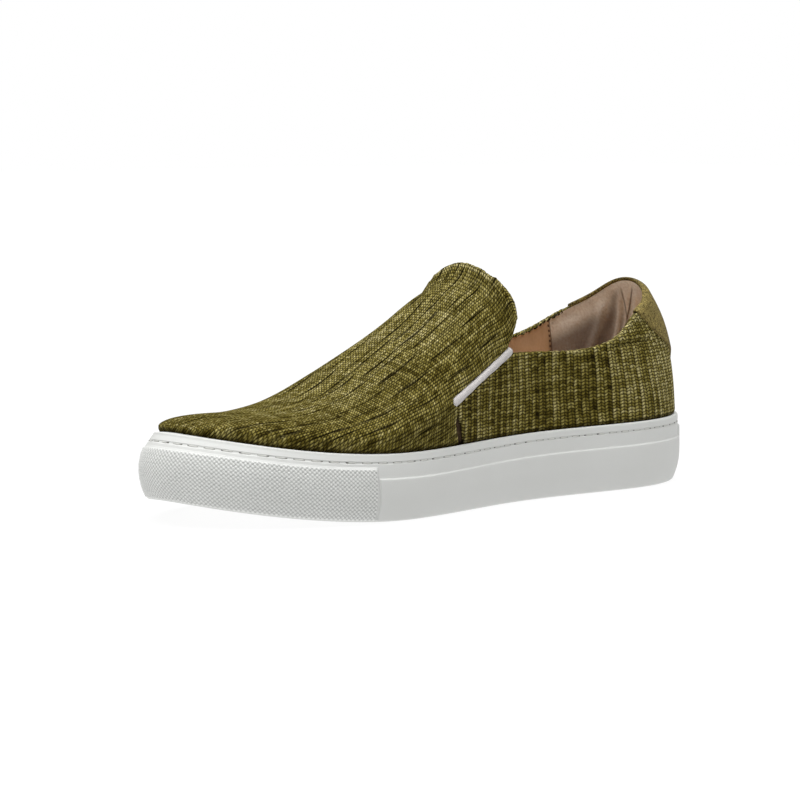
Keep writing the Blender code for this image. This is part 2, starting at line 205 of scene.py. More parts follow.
def piece(name, points, finish, slot, nodes, faces=None, inward=False, **maps):
    """A smooth-shaded mesh from millimetre points, riding on the shoe in place of the solids it stands for.

    The points are a grid where no faces are given, turned over where it faces inward.
    Each map is a named pair of numbers at every point, which the piece's material reads.
    """
    faces = faces or grid_faces(*np.shape(points)[:2], inward=inward)
    mesh = bpy.data.meshes.new(name)
    shift = np.array([LENGTH / 2, AXIS_SHIFT, 0])
    mesh.from_pydata((np.reshape(points, (-1, 3)) - shift) * MM, [], faces)
    corners = np.empty(len(mesh.loops), np.int32)
    mesh.loops.foreach_get("vertex_index", corners)
    for map_name, values in maps.items():
        layer = mesh.uv_layers.new(name=map_name)
        layer.data.foreach_set("uv", np.reshape(values, (-1, 2))[corners].astype(np.float32).ravel())
    mesh.shade_smooth()
    mesh.materials.append(finish)
    made = placed(name, mesh)
    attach(made, "root")
    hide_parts(*nodes)
    return made


class Wire:
    """One output of a material's nodes. Arithmetic on it adds Math nodes, and node() adds any other.

    NumPy's sin and floor work on it too, so one formula can shape a mesh and paint it.
    """

    def __init__(self, tree, socket=None):
        self.tree = tree
        self.socket = socket

    def node(self, kind, settings, feeds, out=0):
        made = self.tree.nodes.new("ShaderNode" + kind)
        for key, value in settings.items():
            if key != "stops":
                setattr(made, key, value)
                continue
            ramp = made.color_ramp.elements
            for at, _ in value[1:-1]:
                ramp.new(at)
            for stop, (at, color) in zip(ramp, value):
                stop.position = at
                stop.color = color
        for key, value in feeds.items():
            if isinstance(value, Wire):
                self.tree.links.new(value.socket, made.inputs[key])
            else:
                made.inputs[key].default_value = value
        return Wire(self.tree, made.outputs[out])

    def output(self, out):
        return Wire(self.tree, self.socket.node.outputs[out])

    def math(self, operation, *values):
        return self.node("Math", {"operation": operation}, dict(enumerate(values)))

    def __add__(self, other):
        return self.math("ADD", self, other)

    def __sub__(self, other):
        return self.math("SUBTRACT", self, other)

    def __rsub__(self, other):
        return self.math("SUBTRACT", other, self)

    def __mul__(self, other):
        return self.math("MULTIPLY", self, other)

    def __truediv__(self, other):
        return self.math("DIVIDE", self, other)

    def __rtruediv__(self, other):
        return self.math("DIVIDE", other, self)

    def __pow__(self, other):
        return self.math("POWER", self, other)

    def __rpow__(self, other):
        return self.math("POWER", other, self)

    def __abs__(self):
        return self.math("ABSOLUTE", self)

    def __floor__(self):
        return self.math("FLOOR", self)

    def sin(self):
        return self.math("SINE", self)

    __radd__ = __add__
    __rmul__ = __mul__

    def step(self, low, high):
        """0 below low, 1 above high, and a soft rise between them."""
        feeds = {0: self, 1: low, 2: high}
        return self.node("MapRange", {"interpolation_type": "SMOOTHSTEP"}, feeds)

    def between(self, first, second):
        """A colour from first, where this is 0, to second, where it is 1."""
        return self.node("Mix", {"data_type": "RGBA"}, {0: self, 6: first, 7: second}, out=2)

    def map(self, name):
        """The two numbers of one of the piece's maps."""
        pair = self.node("SeparateXYZ", {}, {0: self.node("UVMap", {"uv_map": name}, {})})
        return pair, pair.output(1)

    def spot(self):
        """Places in the piece's own metres."""
        return self.node("TexCoord", {}, {}, out="Object")

    def beside(self, other):
        """The place with this number along and the other across."""
        return self.node("CombineXYZ", {}, {0: self, 1: other})

    def noise(self, scale, detail=2.0):
        return self.node("TexNoise", {}, {"Vector": self, "Scale": scale, "Detail": detail})

    def chance(self):
        """A random share for each value of this number."""
        return self.node("TexWhiteNoise", {"noise_dimensions": "1D"}, {"W": self})

    def into(self, shader, name):
        self.tree.links.new(self.socket, shader.inputs[name])


def srgb(red, green, blue):
    """A colour on a 0 to 255 screen scale, as the shader's linear colour."""
    share = np.array([red, green, blue]) / 255
    linear = np.where(share <= 0.04045, share / 12.92, ((share + 0.055) / 1.055) ** 2.4)
    return (*linear.tolist(), 1.0)


def blank(name, **constants):
    """A new material, a first wire to make its nodes with, and its shader."""
    made = bpy.data.materials.new(name)
    made.use_nodes = True
    shader = made.node_tree.nodes["Principled BSDF"]
    for key, value in constants.items():
        shader.inputs[key.replace("_", " ")].default_value = value
    return made, Wire(made.node_tree), shader


def bump(height, shader, depth):
    """Roughens the shader's surface by a height from 0 to 1, worth depth in millimetres."""
    feeds = {"Height": height, "Distance": depth * MM, "Strength": 1.0}
    height.node("Bump", {}, feeds).into(shader, "Normal")


def rubber(name, light_tone, dark_tone_and_shade, relief=False):
    """White moulded rubber with a satin skin, a faint unevenness of tone and, in a relief, hollows darkened
    as painted shade.
    """
    made, web, shader = blank(name, Specular_IOR_Level=0.35)
    spot = web.spot()
    cloud = spot.noise(45.0, 4.0)
    grain = spot.noise(2600.0, 1.0)
    tone = 0.82 + 0.18 * cloud.step(0.35, 0.75)
    if relief:
        # The relief's hollows are painted darker: painted shade.
        high, _ = web.map("relief")
        tone = tone * high.step(0.05, 0.75)
    tone.between(dark_tone_and_shade, light_tone).into(shader, "Base Color")
    (0.45 + 0.16 * cloud + 0.05 * grain).into(shader, "Roughness")
    bump(grain, shader, 0.03)
    return made


sole_rubber = rubber("sole_rubber", srgb(218, 219, 216), srgb(203, 204, 200))

cut_reach = CUT_HALF + CUT_SLOPE
cut_edges = np.array([-cut_reach, -CUT_HALF, -0.05, 0.05, CUT_HALF, cut_reach])
half_turns = np.concatenate(
    [
        np.linspace(0, turn_at(HEEL_PATCH_TO - cut_reach), 14)[:-1],
        turn_at(HEEL_PATCH_TO + cut_edges),
        np.linspace(turn_at(HEEL_PATCH_TO + cut_reach), turn_at(BUMPER_FROM - cut_reach), 150)[1:-1],
        turn_at(BUMPER_FROM + cut_edges),
        np.linspace(turn_at(BUMPER_FROM + cut_reach), 1, 90)[1:],
    ]
)
sole_s = np.concatenate([half_turns, (2 - half_turns)[::-1][1:-1]])
sole_x = station(sole_s)
sole_low = floor_z(sole_x)
sole_rim = rim_z(sole_x)
in_patch = (sole_x > BUMPER_FROM) | (sole_x < HEEL_PATCH_TO)
ledge_z = sole_rim - np.where(in_patch, PATCH_DROP, LEDGE_DROP) - LEDGE_SET
patch_edge = np.minimum(np.abs(sole_x - BUMPER_FROM), np.abs(sole_x - HEEL_PATCH_TO))
patch_cut = PATCH_CUT * (1 - smooth((patch_edge - CUT_HALF) / CUT_SLOPE))


def side_step(x):
    """Depth of the ledge, which runs out round the toe."""
    return LEDGE_STEP - TOE_STEP_LESS * smooth((x - TOE_STEP_FROM) / TOE_STEP_RUN)


sole_step = side_step(sole_x)


def at_height(flat, z):
    """Plan points joined with their heights."""
    return np.concatenate([flat, z[..., None]], -1)


def flat_row(z, inset):
    """A row right round the sole at a height and an inset."""
    return at_height(outline(sole_s, inset), z)


def side_row(z, step):
    """A row round the plain side, sunk by step."""
    return flat_row(z, side_inset(sole_s, (z - sole_low) / (sole_rim - sole_low)) + step)


def rise_to(low, high, shares, step):
    """Rows up the side between two heights."""
    return [side_row(low + (high - low) * share, step) for share in shares]


sole_rows = [flat_row(sole_low, BOTTOM_INSET + UNDER_MARGIN + 0 * sole_x)]
for turn in np.radians((0, 22, 45, 68, 90)):
    edge_z = sole_low + EDGE_ROUND * (1 - np.cos(turn))
    sole_rows.append(side_row(edge_z, EDGE_ROUND * (1 - np.sin(turn))))
sole_rows += rise_to(sole_low + EDGE_ROUND, ledge_z, np.linspace(0.05, 1, 16), patch_cut)
for share in (0.15, 0.35, 0.6, 0.8, 1.0):
    ledge_step = np.maximum(sole_step * smooth(share), patch_cut)
    sole_rows.append(side_row(ledge_z + LEDGE_RISE * share, ledge_step))
channel_z = sole_rim - STITCH_DROP - STITCH_WIDTH / 2
sole_rows += rise_to(ledge_z + LEDGE_RISE, channel_z - CHANNEL_MARGIN, np.linspace(0.2, 1, 5), sole_step)
for across in np.linspace(-1, 1, 11):
    depth = STITCH_DEPTH * math.cos(across * math.pi / 2) ** 0.6
    sole_rows.append(side_row(channel_z + across * STITCH_WIDTH / 2, sole_step + depth))
sole_rows += rise_to(channel_z + CHANNEL_MARGIN, sole_rim - LIP_ROUND, np.linspace(0, 1, 5), sole_step)
lip_inset = side_inset(sole_s, 1 - LIP_ROUND / (sole_rim - sole_low)) + sole_step
for turn in np.radians((18, 36, 54, 72, 90)):
    lip_z = sole_rim - LIP_ROUND * (1 - np.sin(turn))
    sole_rows.append(flat_row(lip_z, lip_inset + LIP_ROUND * (1 - np.cos(turn))))
cup_inset = rim_inset(sole_x) + RIM_WALL
sole_rows.append(flat_row(sole_rim, cup_inset - CUP_CHAMFER))
sole_rows += [flat_row(sole_rim - drop, cup_inset) for drop in (CUP_CHAMFER, CUP_DEPTH)]

count = len(sole_s)
sole_faces = grid_faces(len(sole_rows), count, loop=True)
for level in (0, len(sole_rows) - 1):
    ring = (level * count + np.arange(count)).tolist()
    outer_ring = ring[: len(half_turns)]
    inner_ring = ring[:1] + ring[: len(half_turns) - 2 : -1]
    for i in range(len(half_turns) - 1):
        corners = [outer_ring[i], outer_ring[i + 1], inner_ring[i + 1], inner_ring[i]]
        corners = list(dict.fromkeys(corners))
        sole_faces.append(corners[::-1] if level else corners)
sole = piece("sole_cup", sole_rows, sole_rubber, "sole_rubber", ["sole"], faces=sole_faces)

tread_points = []
for x in TREAD_AT:
    lean = (floor_z(x + 1.0) - floor_z(x - 1.0)) / 2.0
    ends = [outline(s, BOTTOM_INSET + TREAD_MARGIN)[1] for s in (turn_at(x), 2 - turn_at(x))]
    for rise in (-TREAD_BELOW, TREAD_DEPTH):
        for y in ends:
            for side in (-TREAD_WIDTH / 2, TREAD_WIDTH / 2):
                tread_points.append((x + side - lean * rise, y, floor_z(x) + side * lean + rise))
BOX = np.array(((0, 1, 3, 2), (4, 6, 7, 5), (0, 4, 5, 1), (2, 3, 7, 6), (0, 2, 6, 4), (1, 5, 7, 3)))
tread_faces = np.concatenate([BOX + 8 * i for i in range(len(TREAD_AT))]).tolist()
tread = piece("tread_grooves", tread_points, sole_rubber, "sole_rubber", ["sole"], faces=tread_faces)
grooves = sole.modifiers.new("tread", "BOOLEAN")
grooves.operation = "DIFFERENCE"
grooves.solver = "EXACT"
grooves.object = tread
graph = bpy.context.evaluated_depsgraph_get()
sole.data = bpy.data.meshes.new_from_object(sole.evaluated_get(graph))
sole.modifiers.clear()
bpy.data.objects.remove(tread)
sole.data.set_sharp_from_angle(angle=0.6)

# Toe bumper. The front of the sole's side, moulded with rows of small raised diamonds.
# It is of the same rubber as the cup and stands a little proud of it, between the ledge and the floor.
DIAMOND_WIDE = 1.8
DIAMOND_HIGH = 1.55
DIAMOND_RISE = 0.45
FACETS = 6
BUMPER_LINE = 0.5
BUMPER_ROWS = 63
BUMPER_MARGIN = 0.6
BUMPER_LOWER = 0.3
BUMPER_PROUD = 0.1
BUMPER_TUCK = 0.12
BUMPER_EDGE = 0.45


def arc_along(s, inset):
    """Length along the outline, moved in by inset, from the first place in s to each of them."""
    step = np.linalg.norm(np.diff(outline(s, 0 * s + inset), axis=0), axis=1)
    return np.concatenate([[0], np.cumsum(step)])


bumper_turn = turn_at(BUMPER_FROM + BUMPER_MARGIN)
fine_s = np.linspace(bumper_turn, 2 - bumper_turn, 4001)
fine_arc = arc_along(fine_s, BUMPER_LINE)
bumper_arc = np.arange(0, fine_arc[-1], DIAMOND_WIDE / FACETS)
bumper_s = np.interp(bumper_arc, fine_arc, fine_s)
bumper_x = station(bumper_s)
bumper_top = rim_z(bumper_x) - PATCH_DROP - BUMPER_LOWER
bumper_low = floor_z(bumper_x) + BUMPER_MARGIN
bumper_share = np.linspace(0, 1, BUMPER_ROWS)[:, None]
bumper_z = bumper_top + (bumper_low - bumper_top) * bumper_share
down = bumper_top - bumper_z
first = bumper_arc / DIAMOND_WIDE + down / DIAMOND_HIGH
second = bumper_arc / DIAMOND_WIDE - down / DIAMOND_HIGH
diamond = np.abs(np.cos(np.pi * first) * np.cos(np.pi * second)) ** 0.7
from_end = np.minimum(bumper_arc, bumper_arc[-1] - bumper_arc)
inside = np.minimum(np.minimum(down, bumper_z - bumper_low), from_end)
proud = (BUMPER_PROUD + DIAMOND_RISE * diamond) * smooth(inside / BUMPER_EDGE)
proud = proud - BUMPER_TUCK * (inside < 0.05)
all_s = np.broadcast_to(bumper_s, bumper_z.shape)
side_share = (bumper_z - floor_z(bumper_x)) / (rim_z(bumper_x) - floor_z(bumper_x))
bumper_flat = outline(all_s, side_inset(all_s, side_share) - proud)
bumper = at_height(bumper_flat, bumper_z)[::-1]
relief = np.stack([np.where(inside < 0.3, 1, diamond), 0 * inside], -1)[::-1]
# The bumper's diamond hollows are painted darker through its relief map: painted shade.
bumper_rubber = rubber("bumper_rubber", srgb(236, 237, 234), srgb(186, 187, 184), relief=True)
piece("toe_bumper", bumper, bumper_rubber, "sole_rubber", ["sole"], relief=relief)

# Sole stitching. One row of waxed thread, sewn through the rim into the upper's foot.
# Each stitch lies in the channel and dives into the rubber at both ends.
STITCH_PITCH = 6.8
STITCH_LONG = 5.4
STITCH_LINE = 2.0
THREAD_RADIUS = 0.22
THREAD_SINK = 0.22
THREAD_DIVE = 0.9
loop_s = np.linspace(0, 2, 4001)
loop_arc = arc_along(loop_s, STITCH_LINE)
stitch_count = int(loop_arc[-1] / STITCH_PITCH)
along = np.linspace(-1, 1, 11)
stitch_arc = (np.arange(stitch_count)[:, None] + 0.5) * loop_arc[-1] / stitch_count
stitch_s = np.interp(stitch_arc + along * STITCH_LONG / 2, loop_arc, loop_s)
stitch_x = station(stitch_s)
stitch_rim = rim_z(stitch_x)
stitch_z = stitch_rim - STITCH_DROP - STITCH_WIDTH / 2
stitch_low = floor_z(stitch_x)
stitch_inset = side_inset(stitch_s, (stitch_z - stitch_low) / (stitch_rim - stitch_low)) + side_step(stitch_x)
stitch_inset = stitch_inset + THREAD_SINK + THREAD_DIVE * along**8
around = np.linspace(0, 2 * np.pi, 9)[:-1]
tube = []
for angle in around:
    flat = outline(stitch_s, stitch_inset + THREAD_RADIUS * math.cos(angle))
    tube.append(at_height(flat, stitch_z + THREAD_RADIUS * math.sin(angle)))
tube = np.stack(tube, 2)
one_stitch = np.array(grid_faces(len(along), len(around), loop=True))
stitch_faces = np.concatenate([one_stitch + i * tube[0].size // 3 for i in range(stitch_count)]).tolist()
ends = np.stack(np.broadcast_arrays(along[:, None], stitch_arc[..., None] + 0 * tube[..., 0]), -1)
made, web, shader = blank("waxed_thread", Specular_IOR_Level=0.3)
from_middle, row = web.map("ends")
fibre = web.spot().noise(1800.0)
pull = np.sin(row * 1.7) + np.sin(row * 0.61)
# The ends of each stitch are painted dark: painted shade where the thread dives into its holes.
hole = abs(from_middle + 0.12 * pull).step(0.45, 0.95)
thread = fibre.between(srgb(200, 200, 195), srgb(222, 222, 217))
hole.between(thread, srgb(58, 58, 52)).into(shader, "Base Color")
(0.55 + 0.2 * fibre).into(shader, "Roughness")
bump(fibre, shader, 0.08)
piece("sole_stitching", tube, made, "sole_rubber", ["sole"], faces=stitch_faces, ends=ends)

# Insole. A plate of foam covered in thin tan leather, laid in the foot of the upper.
# It is dished a little under the heel and the ball, and its edge meets the lining.
KNIT = 2.4
INSOLE_THICK = 4.0
INSOLE_DISH = 0.7
DISH_HEEL, DISH_TOE = 20.0, 30.0


def leather(name, pale, deep, grain_scale, rough, speckle):
    """Thin leather: a pebbled grain, cloudy dyeing and creases finer than the grain."""
    made, web, shader = blank(name, Specular_IOR_Level=0.22)
    spot = web.spot()
    cell = web.node("TexVoronoi", {"feature": "F1"}, {"Vector": spot, "Scale": grain_scale})
    cloud = spot.noise(38.0, 5.0)
    pore = spot.noise(grain_scale * 2.2, 3.0)
    tone = (1 - speckle) * cloud.step(0.3, 0.7) + speckle * pore.step(0.35, 0.65)
    (tone - 0.25 * cell.step(0.35, 0.75)).between(deep, pale).into(shader, "Base Color")
    (rough + 0.15 * pore).into(shader, "Roughness")
    bump(1 - cell + 0.5 * pore, shader, 0.12)
    return made


tan_leather = leather("tan_leather", srgb(222, 182, 140), srgb(186, 146, 106), 900.0, 0.5, 0.4)
plate_s = np.linspace(0, 1, 91)[:, None]
plate_x = station(plate_s)
plate_inset = rim_inset(plate_x) + RIM_WALL + KNIT + 4 * GAP
plate_outer = outline(plate_s, plate_inset)
plate_inner = outline(2 - plate_s, plate_inset)
# Columns across the plate: share of the width, drop below its top face.
edge_columns = [(0, INSOLE_THICK), (0, 0.8), (0.004, 0.3), (0.014, 0)]
plate_columns = edge_columns + [(a, 0) for a in np.linspace(0.04, 0.96, 31)]
plate_columns = np.array(plate_columns + [(1 - a, drop) for a, drop in edge_columns[::-1]])
across = plate_columns[:, 0][None, :, None]
plate_flat = plate_outer + (plate_inner - plate_outer) * across
plate_top = rim_z(plate_x) - CUP_DEPTH + GAP + INSOLE_THICK
dish = INSOLE_DISH * (1 - (2 * plate_columns[:, 0] - 1) ** 4)
dish = dish * smooth(plate_x / DISH_HEEL) * smooth((LENGTH - plate_x) / DISH_TOE)
plate = at_height(plate_flat, plate_top - plate_columns[:, 1] - dish)
piece("insole_sock", plate, tan_leather, "insole_leather", ["insole"], inward=True)

# Vamp. Olive wool-and-cotton rib knit over the toes and the instep, its ribs running from toe to throat.
# The knit is one cloth, cut at the feather line and lasted down into the sole's cup.
# Shape over the last: share of the length, ridge height, share of the rise where the wall turns into the
# arch, rise of the line where the side rows end, ridge offset, power of the arch's curve.
VAMP = (
    (0.43, 94.8, 0.55, 36.4, -2.5, 1.87),
    (0.44, 90.7, 0.544, 35.5, -2.56, 1.87),
    (0.453, 86.8, 0.534, 34.3, -2.66, 1.89),
    (0.47, 83.8, 0.516, 32.7, -2.82, 1.99),
    (0.50, 77.6, 0.48, 29.6, -3.0, 2.15),
    (0.57, 65.3, 0.40, 22.0, -3.0, 2.2),
    (0.64, 54.5, 0.32, 14.2, -3.0, 2.2),
    (0.71, 45.2, 0.25, 8.8, -2.5, 2.2),
    (0.77, 41.3, 0.20, 6.0, -2.0, 2.2),
    (0.83, 39.9, 0.17, 4.4, -1.5, 2.2),
    (0.89, 40.2, 0.15, 3.4, -1.0, 2.2),
    (1.00, 38.8, 0.15, 2.0, 0.0, 2.2),
)
# Quarters: share of the length, collar height, inward lean of the wall per mm of height.
QUARTER = (
    (0.00, 85.0, 0.02),
    (0.03, 79.5, 0.06),
    (0.09, 72.6, 0.09),
    (0.17, 65.0, 0.10),
    (0.28, 59.6, 0.09),
    (0.38, 60.0, 0.05),
    (0.46, 60.4, 0.00),
    (1.00, 60.4, 0.00),
)
# Back of the heel seen from the side: height, how far forward of its lowest point.
HEEL_CURVE = (
    (29.0, 0.0),
    (40.0, -0.2),
    (50.0, 0.6),
    (60.0, 2.6),
    (70.0, 6.4),
    (80.0, 12.8),
    (90.0, 20.5),
)
HEEL_REACH = 0.40
ANKLE_AT = 36.0
ANKLE_REACH = 20.0
ANKLE_FADE = 12.0
ANKLE_RISE = 36.0
OUTER_LIFT = 2.5
OUTER_LEAN = 2.0
BULGE_RISE = 1.8
KNIT_SINK = 0.15
TOE_CAP = 19.0
TOE_THIN = 0.3
GUIDE_MOST = 0.7
ARCH_FROM = 110.0
SEAM_FOOT = 154.0
GORE_LOW = (158.9, 43.3)
GORE_HIGH = (121.5, 60.6)
GORE_WIDTH = 3.4
THROAT_BACK = 6.0
THROAT_POWER = 5
THROAT_FLARE = 8.0
ridge_z, shoulder_share, guide_rise, ridge_y, arch_power = columns(VAMP)
collar_z, wall_lean = columns(QUARTER)
heel_forward = spline(*np.array(HEEL_CURVE).T)


def bell(t):
    """1 where t is 0, falling away to 0 on both sides."""
    return np.exp(-(t**2))


def beside_ankle(s):
    """Share of the outer side's shape behind the ankle, where it stands higher and leans in more."""
    x = station(s)
    outer = np.asarray(s, float) % 2 < 1
    return bell((x - ANKLE_AT) / ANKLE_REACH) * smooth(x / ANKLE_FADE) * outer


def collar_at(s):
    """Height of the collar."""
    return collar_z(station(s)) + OUTER_LIFT * beside_ankle(s)


def wall(s, z, sink=0.0):
    """The upper's outer face beside the foot, at a place on the outline and a height."""
    s = np.asarray(s, float) % 2
    x = station(s)
    rise = z - rim_z(x)
    inset = rim_inset(x) + RIM_WALL + GAP - knit_bulge(x) * smooth(0.5 + rise / (2 * BULGE_RISE))
    inset = inset + wall_lean(x) * np.maximum(rise - BULGE_RISE, 0) + sink
    inset = inset + OUTER_LEAN * beside_ankle(s) * (np.maximum(rise, 0) / ANKLE_RISE) ** 2
    flat = outline(s, inset)
    reach = smooth(1 - x / (HEEL_REACH * LENGTH))
    forward = heel_forward(np.maximum(z, HEEL_CURVE[0][0])) * reach
    return np.stack([flat[..., 0] + forward, flat[..., 1], z + 0 * x], -1)


def base_z(s):
    """Height of the first row above the rim, where the knit bulges most."""
    return rim_z(station(s)) + BULGE_RISE


tip_inset = rim_inset(LENGTH) + RIM_WALL + GAP - knit_bulge(LENGTH)
heel_inset = rim_inset(0.0) + RIM_WALL + GAP - knit_bulge(0.0)


def vamp_rise(s, sink=0.0):
    """Ridge x, heights of shoulder and ridge over the forefoot, and the rounding off at the toe."""
    x = station(s)
    back = heel_inset + sink
    ridge_x = back + (LENGTH - tip_inset - sink - back) * x / LENGTH
    near = np.clip((LENGTH - tip_inset - sink - ridge_x) / TOE_CAP, 0, 1)
    cap = np.sqrt(1 - (1 - near) ** 2)
    rise = (ridge_z(x) - base_z(s)) * cap
    rise = np.maximum(rise - sink, TOE_THIN * rise)
    return ridge_x, base_z(s) + rise * shoulder_share(x), base_z(s) + rise, cap


def skin(s, q, sink=0.0):
    """The vamp: q is 0 to 1 up the wall to the shoulder, then 1 to 2 over the arch to the ridge."""
    ridge_x, shoulder, top, cap = vamp_rise(s, sink)
    side = wall(s, base_z(s) + (shoulder - base_z(s)) * np.clip(q, 0, 1), sink)
    over = np.clip(q - 1, 0, 1) * np.pi / 2
    power = arch_power(station(s))
    keep = np.cos(over).clip(0) ** (2 / power)
    lift = np.sin(over) ** (2 / power)
    middle = np.stack([ridge_x, ridge_y(station(s)) * cap, shoulder], -1)
    point = middle + (side - middle) * keep[..., None]
    point[..., 2] = np.where(q <= 1, side[..., 2], shoulder + (top - shoulder) * lift)
    return point


def skin_share(s, z, sink=0.0):
    """The q of skin() at a height."""
    _, shoulder, top, _ = vamp_rise(s, sink)
    low = (z - base_z(s)) / np.maximum(shoulder - base_z(s), 1e-6)
    lift = np.clip((z - shoulder) / np.maximum(top - shoulder, 1e-6), 0, 1)
    return np.where(z <= shoulder, low, 1 + np.arcsin(lift ** (arch_power(station(s)) / 2)) * 2 / np.pi)


def side_face(s, z, sink=0.0):
    """The upper's side at a place on the outline and a height, arched over where the vamp is."""
    s = np.asarray(s, float)
    arched = skin(s, skin_share(s, z, sink), sink)
    return np.where((station(s) > ARCH_FROM)[..., None], arched, wall(s, z, sink))


def vamp_row(s, row, sink=0.0):
    """The vamp by rows of the mesh: 0 to 1 up the side to the guide line, then 1 to 2 to the ridge."""
    _, _, top, cap = vamp_rise(s, sink)
    low = base_z(s)
    guide = low + np.minimum(guide_rise(station(s)) * cap, GUIDE_MOST * (top - low))
    turn = skin_share(s, guide, sink)
    side = skin_share(s, low + (guide - low) * np.clip(row, 0, 1), sink)
    return skin(s, np.where(row <= 1, side, turn + (2 - turn) * np.clip(row - 1, 0, 1)), sink)


def ribs(along, across, wale):
    """How far from the middle of its rib a place on the cloth is, in ribs, and the rib's number."""
    wander = 0.5 * np.sin(0.083 * along + 0.047 * across) + 0.25 * np.sin(0.23 * along - 0.11 * across)
    place = (across + wander) / wale
    number = np.floor(place)
    return place - number - 0.5, number


def parting(along, across, every):
    """Where ribs part in broken lines along the cloth: how open the nearest slot is, and how far off."""
    place = across / every
    place = place + 0.2 * np.sin(1.9 * place) + 0.05 * np.sin(0.31 * along + 4.6 * place)
    number = np.floor(place + 0.5)
    off = abs(place - number) * every
    wave = np.sin(0.08 * along + 2.4 * number) + 0.7 * np.sin(0.19 * along + 4.1 * number)
    return wave - 0.0002 * along * abs(across), off


def knit(name, wale, course, rib_gap, course_gap, slant, paired, parted, striped, glow, tones):
    """Rib knit from the cloth's own millimetres, u along the ribs and v across them.

    Each stitch is a short rounded stroke of mottled yarn, or a pair of them, with painted shade in the gaps
    beside it.
    Some ribs part and leave a line of painted shade, the cloth has painted shade above the sole and on the
    inner part of its turned edges, and the edges themselves are paler.
    A glow is how much paler the middle is, the v over which that fades and the u over which it comes in; on
    the vamp it is painted light on the upturned ridge.
    """
    made, web, shader = blank(name, Roughness=0.95, Specular_IOR_Level=0.04)
    along, across = web.map("fabric")
    rise, from_edge = web.map("edges")
    cloth = web.node("UVMap", {"uv_map": "fabric"}, {})
    fibre = cloth.noise(2.6, 3.0)
    twist = cloth.noise(0.7, 2.0) - 0.5
    sway = 2.0 if paired else 1.0
    from_rib, rib_number = ribs(along, across + 0.3 * sway * twist, wale)
    rib_chance = rib_number.chance()
    lean = abs(from_rib) if paired else from_rib
    leg = 2 * lean - 0.5 if paired else from_rib
    loop = along / course + 0.2 * rib_chance + slant * lean + 0.4 * sway * twist
    loop_number = np.floor(loop)
    from_loop = loop - loop_number - 0.5
    stitch_feeds = {"Vector": loop_number.beside(rib_number)}
    chance = web.node("TexWhiteNoise", {"noise_dimensions": "2D"}, stitch_feeds)
    loop_chance = loop_number.chance()
    rib_side = 4 * leg * leg
    if not paired:
        gap_number = np.floor(from_rib + rib_number + 1.0)
        gap_noise = (0.11 * along).beside(3.7 * gap_number).noise(1.0, 2.0)
        rib_side = rib_side * (0.4 + 0.6 * gap_noise.step(0.35, 0.6))
    loop_end = 4 * from_loop * from_loop
    stitch = (1 - rib_gap * rib_side) * (1 - course_gap * loop_end)
    lengths = (0.03 * along).beside(0.35 * across).noise(1.0, 3.0)
    rounds = (0.45 * along).beside(0.03 * across).noise(1.0, 3.0)
    patch = striped * lengths + (1 - striped) * rounds
    edge = 1 - from_edge.step(0.2, 2.0)
    paler, fades, comes_in = glow
    middle = (1 - abs(across).step(*fades)) * along.step(*comes_in)
    tone = 0.4 * chance + 0.35 * (striped * rib_chance + (1 - striped) * loop_chance)
    tone = tone + 0.35 * fibre + 1.1 * (patch - 0.5) + 0.22 * edge + paler * middle
    tone = tone + 0.4 * from_rib if paired else tone
    stops = [(i / (len(tones) - 1), srgb(*color)) for i, color in enumerate(tones)]
    yarn = web.node("ValToRGB", {"stops": stops}, {0: tone})
    # Painted shade: dark just above the sole, where the knit meets the rim, and on the inner part of turned
    # edges.
    turned_in = from_edge.step(-3.2, -1.4)
    shade = (0.25 + 0.75 * rise.step(0.2, 2.4)) * (0.15 + 0.85 * turned_in)
    height = stitch + 0.4 * fibre
    if parted:
        wide, off = parting(along, across, parted)
        # The partings are painted dark as well as sunk: painted shade in the slot.
        slot = wide.step(-0.9, 0.3) * (1 - (off + 0.5 * fibre - 0.25).step(0.1, 0.7)) * rise.step(1.0, 6.0)
        shade = shade * (1 - 0.92 * slot)
        height = height - 0.7 * slot
    # The darkest tone paints the shade in the gaps between stitches and rows: painted shade.
    ((stitch * shade) ** 1.15).between(stops[0][1], yarn).into(shader, "Base Color")
    bump(height, shader, 0.9)
    return made


VAMP_WALE = 1.4
VAMP_PARTED = 4.6
SLOT_DEPTH = 0.45
vamp_knit = knit(
    "vamp_knit",
    wale=VAMP_WALE,
    course=1.6,
    rib_gap=1.0,
    course_gap=0.8,
    slant=0.45,
    paired=False,
    parted=VAMP_PARTED,
    striped=0.5,
    # The glow is painted light: the ridge paler where it faces up.
    glow=(0.17, (8.0, 40.0), (5.0, 85.0)),
    tones=((26, 19, 1), (88, 77, 25), (132, 120, 56), (176, 163, 94), (214, 201, 138)),
)

gore_along = np.subtract(GORE_HIGH, GORE_LOW) / np.linalg.norm(np.subtract(GORE_HIGH, GORE_LOW))
gore_across = np.array([gore_along[1], -gore_along[0]])
half_slit = GORE_WIDTH / 2 + GAP
slit_front = np.array([GORE_LOW, GORE_HIGH]) + gore_across * half_slit
slit_rear = np.array([GORE_LOW, GORE_HIGH]) - gore_across * half_slit
seam = np.array([(SEAM_FOOT, rim_z(SEAM_FOOT) + BULGE_RISE), slit_rear[0]])


def run_of(ends, count):
    """Points (x, z) spread evenly between two ends."""
    return ends[0] + (ends[1] - ends[0]) * np.linspace(0, 1, count)[:, None]


